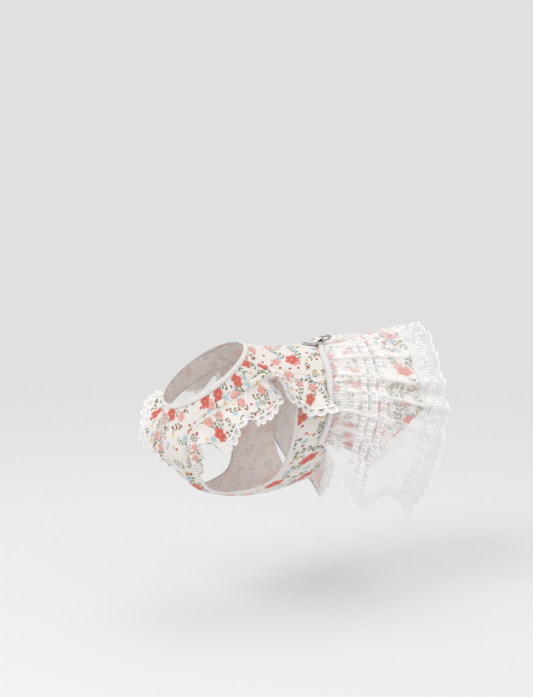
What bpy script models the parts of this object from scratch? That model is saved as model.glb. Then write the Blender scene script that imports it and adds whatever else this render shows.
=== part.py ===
"""Dress for a small dog: a fitted print bodice with flutter ruffles and a two-layer gathered skirt.

Metres, +Z up. The wearer faces -Y and the wearer's left side is +X. The origin lies on the spine, on
the inner face of the back panel. The bodice is laid out on a body form: a share runs from the neck
(0) to the waist (1), and an angle runs round the body from the spine (0) to the belly (180 degrees).
"""
from collections import namedtuple
import math

import bpy
import numpy as np

# Body form
BACK_LENGTH = 0.090
CHEST_DEPTH = 0.122
GIRTH_WIDTH = 0.096
FORE_REACH = 0.121

# Cloth walls and the gap between sewn pieces
COTTON_WALL = 0.0012
TULLE_WALL = 0.0010
LACE_WALL = 0.0010
SEAM_GAP = 0.0003
LAYER_GAP = 0.0008

# Bindings
NECK_BINDING_WIDTH = 0.0030
ARMHOLE_BINDING_WIDTH = 0.0026
WAIST_BINDING_WIDTH = 0.0055
REAR_ALLOWANCE = 0.0050

# Ruffles round the armholes
RUFFLE_WIDTH = 0.029
RUFFLE_LACE_WIDTH = 0.007
RUFFLE_INSET = 0.0015
RUFFLE_BEND = 0.4
SCALLOP_PITCH = 0.0081

# Skirt
SKIRT_SPREAD = 0.078
SKIRT_REACH = 0.122
SKIRT_DROP = 0.150
BORDER_WIDTH = 0.020
BORDER_SCALLOP = 0.0016
SKIRT_LACE_WIDTH = 0.006
SKIRT_SCALLOP = 0.0022
LACE_ROW_WIDTH = 0.006
LACE_ROW_START = 0.0315
LACE_ROW_SPACING = 0.0088
LACE_ROW_COUNT = 3
FOLD_DEPTH = 0.010
EDGE_DROOP = 0.040
SEATED_SHARE = 0.16
SKIRT_FLARE = 0.45
SKIRT_BEND = 0.36

# Lead ring and its tab
RING_WIRE = 0.0018
RING_WIDTH = 0.0150
RING_DEPTH = 0.0122
RING_CORNER = 0.0018
RING_TILT = 14.0
TAB_WIDTH = 0.009
TAB_LENGTH = 0.017
TAB_WALL = 0.0010
BAR_CLEARANCE = 0.0004

# Body form: shares of BACK_LENGTH, CHEST_DEPTH, FORE_REACH, CHEST_DEPTH and half GIRTH_WIDTH
BodySection = namedtuple("BodySection", "share top_back top_up fore down half_width")
BODY = (
    BodySection(0.00, -0.600, 0.050, 1.000, 0.336, 0.708),
    BodySection(0.25, -0.356, 0.012, 1.000, 0.656, 0.854),
    BodySection(0.50, -0.111, 0.000, 0.760, 0.934, 0.958),
    BodySection(0.75, 0.144, -0.008, 0.347, 1.000, 1.000),
    BodySection(1.00, 0.400, -0.070, -0.033, 0.934, 0.979),
)

# Armhole edges by angle, as shares of the form's length
ArmholeRow = namedtuple("ArmholeRow", "angle front rear")
ARMHOLE = (
    ArmholeRow(51.0, 0.315, 0.595),
    ArmholeRow(62.0, 0.262, 0.598),
    ArmholeRow(73.5, 0.212, 0.608),
    ArmholeRow(89.5, 0.168, 0.655),
    ArmholeRow(111.5, 0.136, 0.698),
    ArmholeRow(126.0, 0.130, 0.705),
    ArmholeRow(136.0, 0.145, 0.692),
    ArmholeRow(143.0, 0.195, 0.662),
    ArmholeRow(148.5, 0.275, 0.625),
    ArmholeRow(154.0, 0.365, 0.585),
    ArmholeRow(158.0, 0.430, 0.548),
    ArmholeRow(160.5, 0.484, 0.488),
)
ARMHOLE_HEART = (68.0, 146.0)

# Angle of the seam between the back panel and the under panels, by share
SeamRow = namedtuple("SeamRow", "share angle")
SIDE_SEAM = (
    SeamRow(0.000, 50.0),
    SeamRow(0.315, 50.5),
    SeamRow(0.595, 53.5),
    SeamRow(0.850, 58.5),
    SeamRow(1.000, 61.0),
)

# Waist seam of the skirt and rear edge of the belly band by angle, as shares of the form's length
WaistRow = namedtuple("WaistRow", "angle seam band_rear")
WAIST = (
    WaistRow(0.0, 0.815, 0.920),
    WaistRow(7.0, 0.810, 0.920),
    WaistRow(18.0, 0.750, 0.920),
    WaistRow(30.0, 0.745, 0.920),
    WaistRow(45.0, 0.770, 0.920),
    WaistRow(60.0, 0.785, 0.930),
    WaistRow(75.0, 0.820, 0.940),
    WaistRow(100.0, 0.835, 0.930),
    WaistRow(125.0, 0.830, 0.960),
    WaistRow(180.0, 0.830, 1.000),
)
SKIRT_END_ANGLE = 104.0

# Ruffles by place along the seam: share of full width, then angle up from the cloth and lean by side
RuffleRow = namedtuple("RuffleRow", "place width lift_left lean_left lift_right lean_right")
RUFFLE = (
    RuffleRow(0.000, 0.36, 17.0, 16.0, 40.0, 0.0),
    RuffleRow(0.084, 0.60, 24.0, 18.0, 50.0, -8.0),
    RuffleRow(0.169, 0.82, 36.0, 19.0, 56.0, -16.0),
    RuffleRow(0.243, 0.95, 19.0, 0.0, 50.0, -22.0),
    RuffleRow(0.301, 1.00, 6.0, 0.0, 46.0, -20.0),
    RuffleRow(0.348, 1.00, 12.0, 4.0, 58.0, -16.0),
    RuffleRow(0.396, 1.00, 47.0, 8.0, 70.0, -14.0),
    RuffleRow(0.438, 1.00, 55.0, 4.0, 71.0, -14.0),
    RuffleRow(0.517, 1.00, 32.0, -13.0, 50.0, -13.0),
    RuffleRow(0.601, 1.00, 24.0, -15.0, 28.0, -15.0),
    RuffleRow(0.675, 1.00, 38.0, -23.0, 38.0, -23.0),
    RuffleRow(0.744, 1.00, 46.0, -44.0, 46.0, -44.0),
    RuffleRow(0.781, 1.00, 48.0, -30.0, 48.0, -30.0),
    RuffleRow(0.823, 1.00, 27.0, -14.0, 27.0, -14.0),
    RuffleRow(0.902, 1.00, 18.0, -19.0, 18.0, -19.0),
    RuffleRow(0.965, 1.00, 7.0, -10.0, 7.0, -10.0),
    RuffleRow(1.000, 0.95, 28.0, 14.0, 28.0, 14.0),
)
RUFFLE_START_ANGLE = 155.0
RUFFLE_END_SHARE = 0.760

# Skirt hem by angle, + on the left: shares of SKIRT_SPREAD, SKIRT_REACH and SKIRT_DROP, and how much
# of the tulle's length the print layer covers
HemRow = namedtuple("HemRow", "angle out back down print_share")
HEM = (
    HemRow(-104.0, -0.89, 0.56, 1.035, 0.93),
    HemRow(-98.0, -0.96, 0.65, 0.960, 0.88),
    HemRow(-90.0, -1.00, 0.75, 0.780, 0.80),
    HemRow(-80.0, -1.00, 0.83, 0.550, 0.76),
    HemRow(-70.0, -1.00, 0.86, 0.367, 0.82),
    HemRow(-55.0, -0.87, 0.90, 0.220, 0.82),
    HemRow(-40.0, -0.68, 0.94, 0.100, 0.80),
    HemRow(-20.0, -0.36, 1.00, -0.040, 0.80),
    HemRow(0.0, 0.00, 1.04, -0.080, 0.79),
    HemRow(20.0, 0.36, 1.00, -0.040, 0.80),
    HemRow(40.0, 0.68, 0.94, 0.100, 0.80),
    HemRow(55.0, 0.87, 0.90, 0.220, 0.82),
    HemRow(70.0, 1.02, 0.87, 0.367, 0.82),
    HemRow(80.0, 1.00, 0.84, 0.513, 0.72),
    HemRow(90.0, 0.95, 0.81, 0.680, 0.61),
    HemRow(98.0, 0.82, 0.75, 0.867, 0.54),
    HemRow(104.0, 0.64, 0.69, 1.003, 0.50),
)

# Skirt folds by angle: shares of FOLD_DEPTH, and half widths in degrees
FoldRow = namedtuple("FoldRow", "angle depth half_width")
FOLDS = (
    FoldRow(11.0, 0.50, 5.0),
    FoldRow(27.0, 0.60, 5.5),
    FoldRow(43.0, 0.70, 5.5),
    FoldRow(60.0, 1.00, 5.5),
    FoldRow(75.0, 0.70, 5.0),
    FoldRow(87.0, 0.60, 5.5),
    FoldRow(98.5, 0.40, 5.0),
)

# Droop of the skirt's front edges by share of their length: shares of EDGE_DROOP on each side
DroopRow = namedtuple("DroopRow", "length left right")
DROOP = (
    DroopRow(0.00, 0.00, 0.00),
    DroopRow(0.17, 0.40, 0.16),
    DroopRow(0.33, 0.75, 0.36),
    DroopRow(0.50, 1.00, 0.46),
    DroopRow(0.66, 0.42, 0.36),
    DroopRow(0.83, 0.06, 0.12),
    DroopRow(1.00, 0.00, 0.00),
)
DROOP_WAY = (0.0, -0.16, -0.98)
DROOP_START_ANGLE = 90.0

# Faces round the skirt and points of the ring's bow
SKIRT_COLUMNS = 44
RING_TURN_POINTS = 10

# Corners of one lace scallop with its half-moon opening: shares of the pitch and of the lace width
LACE_CORNERS = {
    "foot_left": (0.0, 0.0), "foot_mid": (0.5, 0.0), "foot_right": (1.0, 0.0),
    "dip_left": (0.0, 0.62), "dip_right": (1.0, 0.62),
    "curve_left": (0.2, 0.93), "crown": (0.5, 1.0), "curve_right": (0.8, 0.93),
    "moon_left": (0.24, 0.26), "moon_foot": (0.5, 0.17), "moon_right": (0.76, 0.26),
    "moon_top": (0.5, 0.52),
}
LACE_FACES = (
    ("foot_left", "foot_mid", "moon_foot", "moon_left"),
    ("foot_mid", "foot_right", "moon_right", "moon_foot"),
    ("foot_left", "moon_left", "dip_left"),
    ("foot_right", "dip_right", "moon_right"),
    ("dip_left", "moon_left", "moon_top", "curve_left"),
    ("curve_left", "moon_top", "curve_right", "crown"),
    ("curve_right", "moon_top", "moon_right", "dip_right"),
)

# Colours, roughness and metallic value of each material
FINISHES = {
    "print_cotton": ((0.83, 0.74, 0.71, 1.0), 0.85, 0.0),
    "white_tape": ((0.86, 0.85, 0.83, 1.0), 0.80, 0.0),
    "white_lace": ((0.88, 0.87, 0.86, 1.0), 0.75, 0.0),
    "tulle": ((0.80, 0.80, 0.80, 1.0), 0.60, 0.0),
    "dark_nickel": ((0.25, 0.25, 0.26, 1.0), 0.25, 1.0),
}


def column(rows, field):
    """The values of one named column of a table."""
    return np.array([getattr(row, field) for row in rows], dtype=float)


def through(rows, key, field, where):
    """A smooth curve through a table: the field's value where the key column reads `where`."""
    keys, values = column(rows, key), column(rows, field)
    slopes = np.gradient(values, keys)
    where = np.asarray(where, dtype=float)
    left = np.clip(np.searchsorted(keys, where) - 1, 0, len(keys) - 2)
    span = keys[left + 1] - keys[left]
    t = (where - keys[left]) / span
    start, end = values[left], values[left + 1]
    rise, fall = slopes[left] * span, slopes[left + 1] * span
    return (start * (2 * t**3 - 3 * t**2 + 1) + end * (3 * t**2 - 2 * t**3)
            + rise * (t**3 - 2 * t**2 + t) + fall * (t**3 - t**2))


def unit(vectors):
    """The vectors at length one."""
    return vectors / np.linalg.norm(vectors, axis=-1, keepdims=True)


def body(share, angle, rise=0.0):
    """Points of the body form, `rise` metres proud of it. Angles are degrees, + on the left side."""
    share, angle = np.broadcast_arrays(np.asarray(share, float), np.radians(np.asarray(angle, float)))
    top = np.stack([through(BODY, "share", "top_back", share) * BACK_LENGTH,
                    through(BODY, "share", "top_up", share) * CHEST_DEPTH], -1)
    bottom = np.stack([-through(BODY, "share", "fore", share) * FORE_REACH,
                       -through(BODY, "share", "down", share) * CHEST_DEPTH], -1)
    half = (top - bottom) / 2
    half = half + unit(half) * np.asarray(rise)[..., None]
    centre = (top + bottom) / 2 + half * np.cos(angle)[..., None]
    side = (through(BODY, "share", "half_width", share) * GIRTH_WIDTH / 2 + rise) * np.sin(angle)
    return np.stack([side, centre[..., 0], centre[..., 1]], -1)


def body_axes(share, angle):
    """Unit vectors of the form at a point: towards the waist, round the body, and outward."""
    step = 1e-3
    back = unit(body(share + step, angle) - body(share - step, angle))
    around = unit(body(share, angle + step) - body(share, angle - step))
    return back, around, unit(np.cross(around, back))


def share_step(share, angle, length):
    """The share that spans a length in metres along the form."""
    step = 1e-3
    return length * step / np.linalg.norm(body(share + step, angle) - body(share, angle), axis=-1)


def move_on_body(start, goal, distance):
    """A point of the form that lies `distance` from the start, towards the goal, as share and angle."""
    span = np.linalg.norm(body(*goal) - body(*start), axis=-1)
    part = distance / span
    return start[0] + (goal[0] - start[0]) * part, start[1] + (goal[1] - start[1]) * part


def armhole_edge(angle, field):
    """The share of the armhole's front or rear edge at an angle, closed below its last row."""
    last = ARMHOLE[-1]
    inside = through(ARMHOLE, "angle", field, np.clip(angle, ARMHOLE[0].angle, last.angle))
    return np.where(np.asarray(angle) > last.angle, getattr(last, field), inside)


def material(name):
    """A plain material with the finish of that name."""
    made = bpy.data.materials.get(name) or bpy.data.materials.new(name)
    made.use_nodes = True
    shader = made.node_tree.nodes["Principled BSDF"]
    colour, roughness, metallic = FINISHES[name]
    shader.inputs["Base Color"].default_value = colour
    shader.inputs["Roughness"].default_value = roughness
    shader.inputs["Metallic"].default_value = metallic
    return made


def add_mesh(name, points, faces, finish, side=1.0):
    """A mesh object from points and faces; side -1 mirrors it to the wearer's right."""
    points = np.array(points, dtype=float)
    points[:, 0] *= side
    ordered = faces if side > 0 else [tuple(reversed(face)) for face in faces]
    mesh = bpy.data.meshes.new(name)
    mesh.from_pydata([tuple(point) for point in points], [], ordered)
    mesh.materials.append(material(finish))
    mesh.shade_smooth()
    made = bpy.data.objects.new(name, mesh)
    bpy.context.collection.objects.link(made)
    return made


def triangles(points, faces):
    """The faces with each four-sided one cut along its shorter diagonal."""
    cut = []
    for face in faces:
        if len(face) == 3:
            cut.append(face)
            continue
        a, b, c, d = face
        shorter = np.linalg.norm(points[a] - points[c]) < np.linalg.norm(points[b] - points[d])
        cut += [(a, b, c), (a, c, d)] if shorter else [(a, b, d), (b, c, d)]
    return cut


def add_slab(name, inner, outer, faces, finish, side=1.0):
    """A closed sheet between an inner and an outer face that share one layout of faces."""
    count = len(inner)
    faces = triangles(inner, faces)
    edges = {(face[i - 1], face[i]) for face in faces for i in range(len(face))}
    rims = [(end + count, start + count, start, end) for start, end in sorted(edges)
            if (end, start) not in edges]
    outside = [tuple(point + count for point in face) for face in faces]
    inside = [tuple(reversed(face)) for face in faces]
    add_mesh(name, np.concatenate([inner, outer]), outside + inside + rims, finish, side)


def grid_faces(rows, columns, ring=False):
    """Faces of a grid whose points run along each row; a ring joins its last column to its first."""
    faces = []
    for row in range(rows - 1):
        for col in range(columns if ring else columns - 1):
            beside = (col + 1) % columns
            faces.append((row * columns + col, row * columns + beside,
                          (row + 1) * columns + beside, (row + 1) * columns + col))
    return faces


def add_grid(name, grid, wall, finish, side=1.0, ring=False):
    """A cloth sheet from a grid of inner points; a Solidify modifier gives it a wall outward."""
    rows, columns = grid.shape[:2]
    sheet = add_mesh(name, grid.reshape(-1, 3), grid_faces(rows, columns, ring), finish, side)
    solid = sheet.modifiers.new("wall", "SOLIDIFY")
    solid.thickness = wall
    solid.offset = 1.0
    return sheet


def make_back_panel():
    """The print panel over the back, from the neck to just under the waist binding."""
    across = np.linspace(-1.0, 1.0, 11)
    along = np.linspace(0.0, 1.0, 8)
    at, slant = np.meshgrid(along, across, indexing="ij")
    half_angle = through(SIDE_SEAM, "share", "angle", at)
    rear = through(WAIST, "angle", "seam", np.abs(slant) * half_angle)
    rear = rear + share_step(rear, slant * half_angle, REAR_ALLOWANCE)
    share = at * rear
    angle = slant * through(SIDE_SEAM, "share", "angle", share)
    add_grid("back_panel", body(share, angle), COTTON_WALL, "print_cotton")


def under_panel_columns():
    """Angles of the under panels' columns on one side: the armhole's rows, their middles and the belly."""
    angles = list(column(ARMHOLE, "angle"))
    middles = [(low + high) / 2 for low, high in zip(angles[:6], angles[1:7])]
    return np.array(sorted(angles + middles + [170.0, 180.0]))


def under_panel_angles(table_angle, share):
    """Angles that start at the side seam, one seam gap from the back panel, and end at the belly."""
    first = ARMHOLE[0].angle
    seam = through(SIDE_SEAM, "share", "angle", share)
    gap = np.degrees(SEAM_GAP / (GIRTH_WIDTH / 2))
    return seam + gap + (180.0 - seam - gap) * (table_angle - first) / (180.0 - first)


def add_under_panel(name, front, rear, rows):
    """A panel that passes under the body from one side seam to the other."""
    left = under_panel_columns()
    table_angle = np.concatenate([left, left[-2::-1]])
    mirror = np.concatenate([np.ones(len(left)), -np.ones(len(left) - 1)])
    along = np.linspace(0.0, 1.0, rows)[:, None]
    share = front(table_angle) + (rear(table_angle) - front(table_angle)) * along
    angle = under_panel_angles(table_angle, share) * mirror
    angle = np.where(mirror < 0, angle + 360.0, angle)
    add_grid(name, body(share, angle), COTTON_WALL, "print_cotton")


def make_chest_panel():
    """The front panel: shoulder straps beside the neck, narrowing to a strip between the legs."""
    add_under_panel("chest_panel", np.zeros_like, lambda angle: armhole_edge(angle, "front"), 4)


def make_belly_band():
    """The band round the belly behind the armholes."""
    def rear(angle):
        return through(WAIST, "angle", "band_rear", angle)
    add_under_panel("belly_band", lambda angle: armhole_edge(angle, "rear"), rear, 3)


def make_neck_binding():
    """A folded tape that continues the panels round the neck edge."""
    angle = np.linspace(0.0, 360.0, 28, endpoint=False)
    near = share_step(0.0, angle, SEAM_GAP)
    far = share_step(0.0, angle, SEAM_GAP + NECK_BINDING_WIDTH)
    grid = np.stack([body(-far, angle), body(-near, angle)])
    add_grid("neck_binding", grid, COTTON_WALL, "white_tape", ring=True)


def armhole_loop():
    """The armhole's edge as one closed run of shares and angles, front edge first."""
    angles = column(ARMHOLE, "angle")[:-1]
    middles = (angles[:5] + angles[1:6]) / 2
    angles = np.sort(np.concatenate([angles, middles]))
    top = np.linspace(ARMHOLE[0].rear, ARMHOLE[0].front, 6)[1:-1]
    shares = np.concatenate([armhole_edge(angles, "front"), armhole_edge(angles[::-1], "rear"), top])
    table = np.concatenate([angles, angles[::-1], np.full(len(top), ARMHOLE[0].angle)])
    return shares, under_panel_angles(table, shares)


def make_armhole_binding(name, side):
    """A narrow tape inside the armhole's edge."""
    share, angle = armhole_loop()
    heart_angle = np.clip(angle, *ARMHOLE_HEART)
    heart_share = (armhole_edge(heart_angle, "front") + armhole_edge(heart_angle, "rear")) / 2
    heart = (heart_share, heart_angle)
    outer = move_on_body((share, angle), heart, SEAM_GAP)
    inner = move_on_body((share, angle), heart, SEAM_GAP + ARMHOLE_BINDING_WIDTH)
    grid = np.stack([body(*outer), body(*inner)])
    add_grid(name, grid, COTTON_WALL, "white_tape", side, ring=True)


def ruffle_seam(place):
    """Share and angle of the ruffle's seam: up the armhole's front edge, then along the side seam."""
    chest_angles = np.linspace(RUFFLE_START_ANGLE, ARMHOLE[0].angle, 60)
    chest_shares = armhole_edge(chest_angles, "front")
    side_shares = np.linspace(ARMHOLE[0].front, RUFFLE_END_SHARE, 30)[1:]
    shares = np.concatenate([chest_shares, side_shares])
    angles = np.concatenate([under_panel_angles(chest_angles, chest_shares),
                             through(SIDE_SEAM, "share", "angle", side_shares)])
    steps = np.linalg.norm(np.diff(body(shares, angles), axis=0), axis=1)
    run = np.concatenate([[0.0], np.cumsum(steps)])
    run = run / run[-1]
    smooth = np.linspace(0.0, 1.0, 25)
    where = np.clip(place, 0.0, 1.0)
    return (np.interp(where, smooth, np.interp(smooth, run, shares)),
            np.interp(where, smooth, np.interp(smooth, run, angles)))


def ruffle_width(place):
    """The whole width of a ruffle and its lace."""
    return (RUFFLE_WIDTH + RUFFLE_LACE_WIDTH) * through(RUFFLE, "place", "width", place)


def ruffle_side(word, place, across):
    """A point of the ruffle's wrong side: `across` runs from the seam (0) to the lace's edge (1)."""
    share, angle = ruffle_seam(place)
    before, after = ruffle_seam(place - 0.02), ruffle_seam(place + 0.02)
    outward = body_axes(share, angle)[2]
    along = unit(body(*after) - body(*before))
    open_way = unit(np.cross(along, outward))
    root = body(share, angle, COTTON_WALL + SEAM_GAP) - open_way * RUFFLE_INSET
    lift = np.radians(through(RUFFLE, "place", f"lift_{word}", place))[..., None]
    lean = np.radians(through(RUFFLE, "place", f"lean_{word}", place))[..., None]
    length = ruffle_width(place)[..., None]
    flat = np.cos(lean) * (np.cos(lift) * open_way + np.sin(lift) * outward) + np.sin(lean) * along
    early = np.cos(lift / 2) * open_way + np.sin(lift / 2) * outward
    bend = root + early * length * RUFFLE_BEND
    end = root + flat * length
    t = across[..., None]
    return root * (1 - t) ** 2 + 2 * bend * t * (1 - t) + end * t**2


def ruffle_point(word, place, across, rise=0.0):
    """A point `rise` metres proud of the ruffle's wrong side."""
    place, across = np.broadcast_arrays(np.asarray(place, float), np.asarray(across, float))
    step = 0.03
    turn = (ruffle_side(word, np.minimum(place + step, 1.0), across)
            - ruffle_side(word, np.maximum(place - step, 0.0), across))
    run = ruffle_side(word, place, across + step) - ruffle_side(word, place, across - step)
    return ruffle_side(word, place, across) + unit(np.cross(run, turn)) * rise


def lace_start():
    """The share of the ruffle's whole width where its lace begins."""
    return RUFFLE_WIDTH / (RUFFLE_WIDTH + RUFFLE_LACE_WIDTH)


def even_places(curve, count):
    """Places on a curve that cut it into `count` equal lengths, and its whole length."""
    fine = np.linspace(0.0, 1.0, 600)
    points = curve(fine)
    steps = np.linalg.norm(np.diff(points, axis=0), axis=1)
    run = np.concatenate([[0.0], np.cumsum(steps)])
    return np.interp(np.linspace(0.0, run[-1], count + 1), run, fine), run[-1]


def scallop_places(word):
    """Places of the dips between the lace's scallops along one ruffle."""
    def edge(at):
        return ruffle_point(word, at, lace_start())
    _, length = even_places(edge, 1)
    return even_places(edge, round(length / SCALLOP_PITCH))[0]


def make_ruffle(word, side):
    """The print frill of one armhole, with two columns of faces to each scallop of its lace."""
    dips = scallop_places(word)
    place = np.sort(np.concatenate([dips, (dips[:-1] + dips[1:]) / 2]))
    across = np.linspace(1.0, 0.0, 4)[:, None] * lace_start()
    inner, outer = (ruffle_point(word, place[None, :], across, rise) for rise in (0.0, COTTON_WALL))
    faces = grid_faces(len(across), len(place))
    add_slab(f"ruffle_{word}", inner.reshape(-1, 3), outer.reshape(-1, 3), faces, "print_cotton", side)


def make_ruffle_lace(word, side):
    """The scalloped lace on the frill's edge, with one half-moon opening cut through each scallop."""
    dips = scallop_places(word)
    known, places, widths, faces = {}, [], [], []
    for scallop in range(len(dips) - 1):
        for face in LACE_FACES:
            corners = []
            for corner in face:
                along, across = LACE_CORNERS[corner]
                key = (round(scallop + along, 3), across)
                if key not in known:
                    known[key] = len(places)
                    places.append(dips[scallop] + (dips[scallop + 1] - dips[scallop]) * along)
                    widths.append(across)
                corners.append(known[key])
            faces.append(tuple(reversed(corners)))
    place = np.array(places)
    start = lace_start() + SEAM_GAP / ruffle_width(place)
    across = start + (1.0 - start) * np.array(widths)
    inner, outer = (ruffle_point(word, place, across, rise) for rise in (0.0, COTTON_WALL))
    add_slab(f"ruffle_lace_{word}", inner, outer, faces, "white_lace", side)


def skirt_root_rise():
    """How far the tulle's inner face stands off the form at the waist."""
    return COTTON_WALL + SEAM_GAP + COTTON_WALL + SEAM_GAP


def skirt_root(angle):
    """The waist line where the skirt's gathered edge starts, behind the waist binding."""
    seam = through(WAIST, "angle", "seam", np.abs(angle))
    share = seam + share_step(seam, angle, WAIST_BINDING_WIDTH + SEAM_GAP)
    return share, body(share, angle, skirt_root_rise())


def skirt_hem(angle):
    """The hem line of the tulle."""
    return np.stack([through(HEM, "angle", "out", angle) * SKIRT_SPREAD,
                     through(HEM, "angle", "back", angle) * SKIRT_REACH,
                     -through(HEM, "angle", "down", angle) * SKIRT_DROP], -1)


def skirt_length(angle):
    """The length of the tulle from waist to hem at an angle."""
    _, root = skirt_root(angle)
    return np.linalg.norm(skirt_hem(angle) - root, axis=-1)


def plain_skirt(angle, along):
    """The skirt's sweep from waist to hem before its folds are pressed in."""
    share, root = skirt_root(angle)
    hem = skirt_hem(angle)
    back, _, outward = body_axes(share, angle)
    leave = unit(back + SKIRT_FLARE * outward)
    length = np.linalg.norm(hem - root, axis=-1, keepdims=True)
    bend = root + leave * length * SKIRT_BEND
    t = along[..., None]
    return root * (1 - t) ** 2 + 2 * bend * t * (1 - t) + hem * t**2


def skirt_fold(angle, along):
    """How deep the folds press in at a point."""
    depth = np.zeros_like(angle)
    for fold in FOLDS:
        depth = depth + fold.depth * np.exp(-((np.abs(angle) - fold.angle) / fold.half_width) ** 2)
    return depth * FOLD_DEPTH * np.clip(along, 0.0, None) ** 1.3


def skirt_droop(angle, along):
    """How far the front edges hang below the sweep, forward and down."""
    near = np.clip((np.abs(angle) - DROOP_START_ANGLE) / (SKIRT_END_ANGLE - DROOP_START_ANGLE), 0.0, 1.0)
    share = np.where(angle > 0, through(DROOP, "length", "left", along),
                     through(DROOP, "length", "right", along))
    return (share * EDGE_DROOP * near**2)[..., None] * np.array(DROOP_WAY)


def skirt_point(angle, along, rise=0.0, left_droop=1.0):
    """A point of the tulle's inner face, `rise` metres proud of it; the left droop may be left out."""
    angle, along = np.broadcast_arrays(np.asarray(angle, float), np.asarray(along, float))

    def folded(at_angle, at_along):
        step = 0.05
        sweep = plain_skirt(at_angle, at_along)
        turn = plain_skirt(at_angle + step, at_along) - plain_skirt(at_angle - step, at_along)
        run = plain_skirt(at_angle, at_along + step / 10) - plain_skirt(at_angle, at_along - step / 10)
        outward = unit(np.cross(turn, run))
        return (sweep - outward * skirt_fold(at_angle, at_along)[..., None]
                + skirt_droop(at_angle, at_along) * np.where(at_angle > 0, left_droop, 1.0)[..., None])

    step = 4.0
    turn = (folded(np.minimum(angle + step, SKIRT_END_ANGLE), along)
            - folded(np.maximum(angle - step, -SKIRT_END_ANGLE), along))
    run = folded(angle, along + step / 100) - folded(angle, np.maximum(along - step / 100, 0.0))
    root_outward = body_axes(skirt_root(angle)[0], angle)[2]
    free = np.clip(along / SEATED_SHARE, 0.0, 1.0)[..., None]
    outward = unit(root_outward * (1 - free) + unit(np.cross(turn, run)) * free)
    return folded(angle, along) + outward * np.asarray(rise)[..., None]


def skirt_angles(count):
    """Evenly spread angles from one front edge of the skirt to the other."""
    return np.linspace(-SKIRT_END_ANGLE, SKIRT_END_ANGLE, count + 1)


def scallop_wave(count):
    """A zigzag for scalloped edges: one at each crown and zero at each dip."""
    return np.arange(count + 1) % 2 * 1.0


def layer_gap(along):
    """The gap between the skirt's two layers: closed at the waist and open below it."""
    return SEAM_GAP + (LAYER_GAP - SEAM_GAP) * np.clip(along * 4, 0.0, 1.0)


def add_skirt_sheet(name, angle, start, end, rows, rise, wall, finish, left_droop=1.0):
    """A sheet of the skirt between two shares of its length."""
    along = start + (end - start) * np.linspace(0.0, 1.0, rows)[:, None]
    columns = np.broadcast_to(angle, along.shape)
    grids = [skirt_point(columns, along, rise(along) + part, left_droop) for part in (0.0, wall)]
    if len(angle) > SKIRT_COLUMNS + 1:
        for grid in grids:
            grid[0, 1::2] = (grid[0, :-1:2] + grid[0, 2::2]) / 2
    inner, outer = (grid.reshape(-1, 3) for grid in grids)
    add_slab(name, inner, outer, grid_faces(rows, len(angle)), finish)


def print_rise(along):
    """The print layer's inner face, below the tulle."""
    return -COTTON_WALL - layer_gap(along)


def make_print_skirt():
    """The print layer under the tulle, with its narrow scalloped lace."""
    angle = skirt_angles(SKIRT_COLUMNS)
    hem = through(HEM, "angle", "print_share", angle)
    add_skirt_sheet("print_skirt", angle, 0.0 * hem, hem, 5, print_rise, COTTON_WALL, "print_cotton", 0.0)
    fine = skirt_angles(2 * SKIRT_COLUMNS)
    length = skirt_length(fine)
    start = through(HEM, "angle", "print_share", fine) + SEAM_GAP / length
    width = SKIRT_LACE_WIDTH - SKIRT_SCALLOP * (1 - scallop_wave(2 * SKIRT_COLUMNS))
    add_skirt_sheet("print_skirt_lace", fine, start, start + width / length, 2, print_rise,
                    LACE_WALL, "white_lace", 0.0)


def make_tulle_skirt():
    """The sheer layer on top and its wide scalloped border."""
    angle = skirt_angles(SKIRT_COLUMNS)
    start = 1.0 - BORDER_WIDTH / skirt_length(angle)
    add_skirt_sheet("tulle_skirt", angle, 0.0 * angle, start, 6, np.zeros_like, TULLE_WALL, "tulle")
    fine = skirt_angles(2 * SKIRT_COLUMNS)
    length = skirt_length(fine)
    start = 1.0 - (BORDER_WIDTH - SEAM_GAP) / length
    end = 1.0 - BORDER_SCALLOP * (1 - scallop_wave(2 * SKIRT_COLUMNS)) / length
    add_skirt_sheet("tulle_border", fine, start, end, 2, np.zeros_like, TULLE_WALL, "white_lace")


def make_lace_rows():
    """Narrow lace rows sewn round the tulle below the waist."""
    angle = skirt_angles(SKIRT_COLUMNS)
    length = skirt_length(angle)
    for row in range(LACE_ROW_COUNT):
        start = (LACE_ROW_START + row * LACE_ROW_SPACING) / length
        add_skirt_sheet(f"lace_row_{row + 1}", angle, start, start + LACE_ROW_WIDTH / length, 2,
                        lambda along: np.full_like(along, TULLE_WALL + SEAM_GAP), LACE_WALL, "white_lace")


def make_waist_binding():
    """The white tape over the seam between the back panel and the skirt."""
    angle = skirt_angles(SKIRT_COLUMNS)
    seam = through(WAIST, "angle", "seam", np.abs(angle))
    rear = seam + share_step(seam, angle, WAIST_BINDING_WIDTH)
    grid = np.stack([body(seam, angle, COTTON_WALL + SEAM_GAP), body(rear, angle, COTTON_WALL + SEAM_GAP)])
    wall = skirt_root_rise() + TULLE_WALL - COTTON_WALL - SEAM_GAP
    add_grid("waist_binding", grid, wall, "white_tape")


def spine_top(y):
    """Height of the back panel's outer face on the spine, at a place along the back."""
    spine = body(np.linspace(0.0, 1.0, 101), 0.0, COTTON_WALL)
    return float(np.interp(y, spine[:, 1], spine[:, 2]))


def binding_edge(part):
    """The waist binding's outer face on the spine, `part` of its width behind its front edge, as (y, z)."""
    seam = through(WAIST, "angle", "seam", 0.0)
    share = seam + share_step(seam, 0.0, WAIST_BINDING_WIDTH * part)
    point = body(share, 0.0, skirt_root_rise() + TULLE_WALL)
    return float(point[1]), float(point[2])


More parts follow.
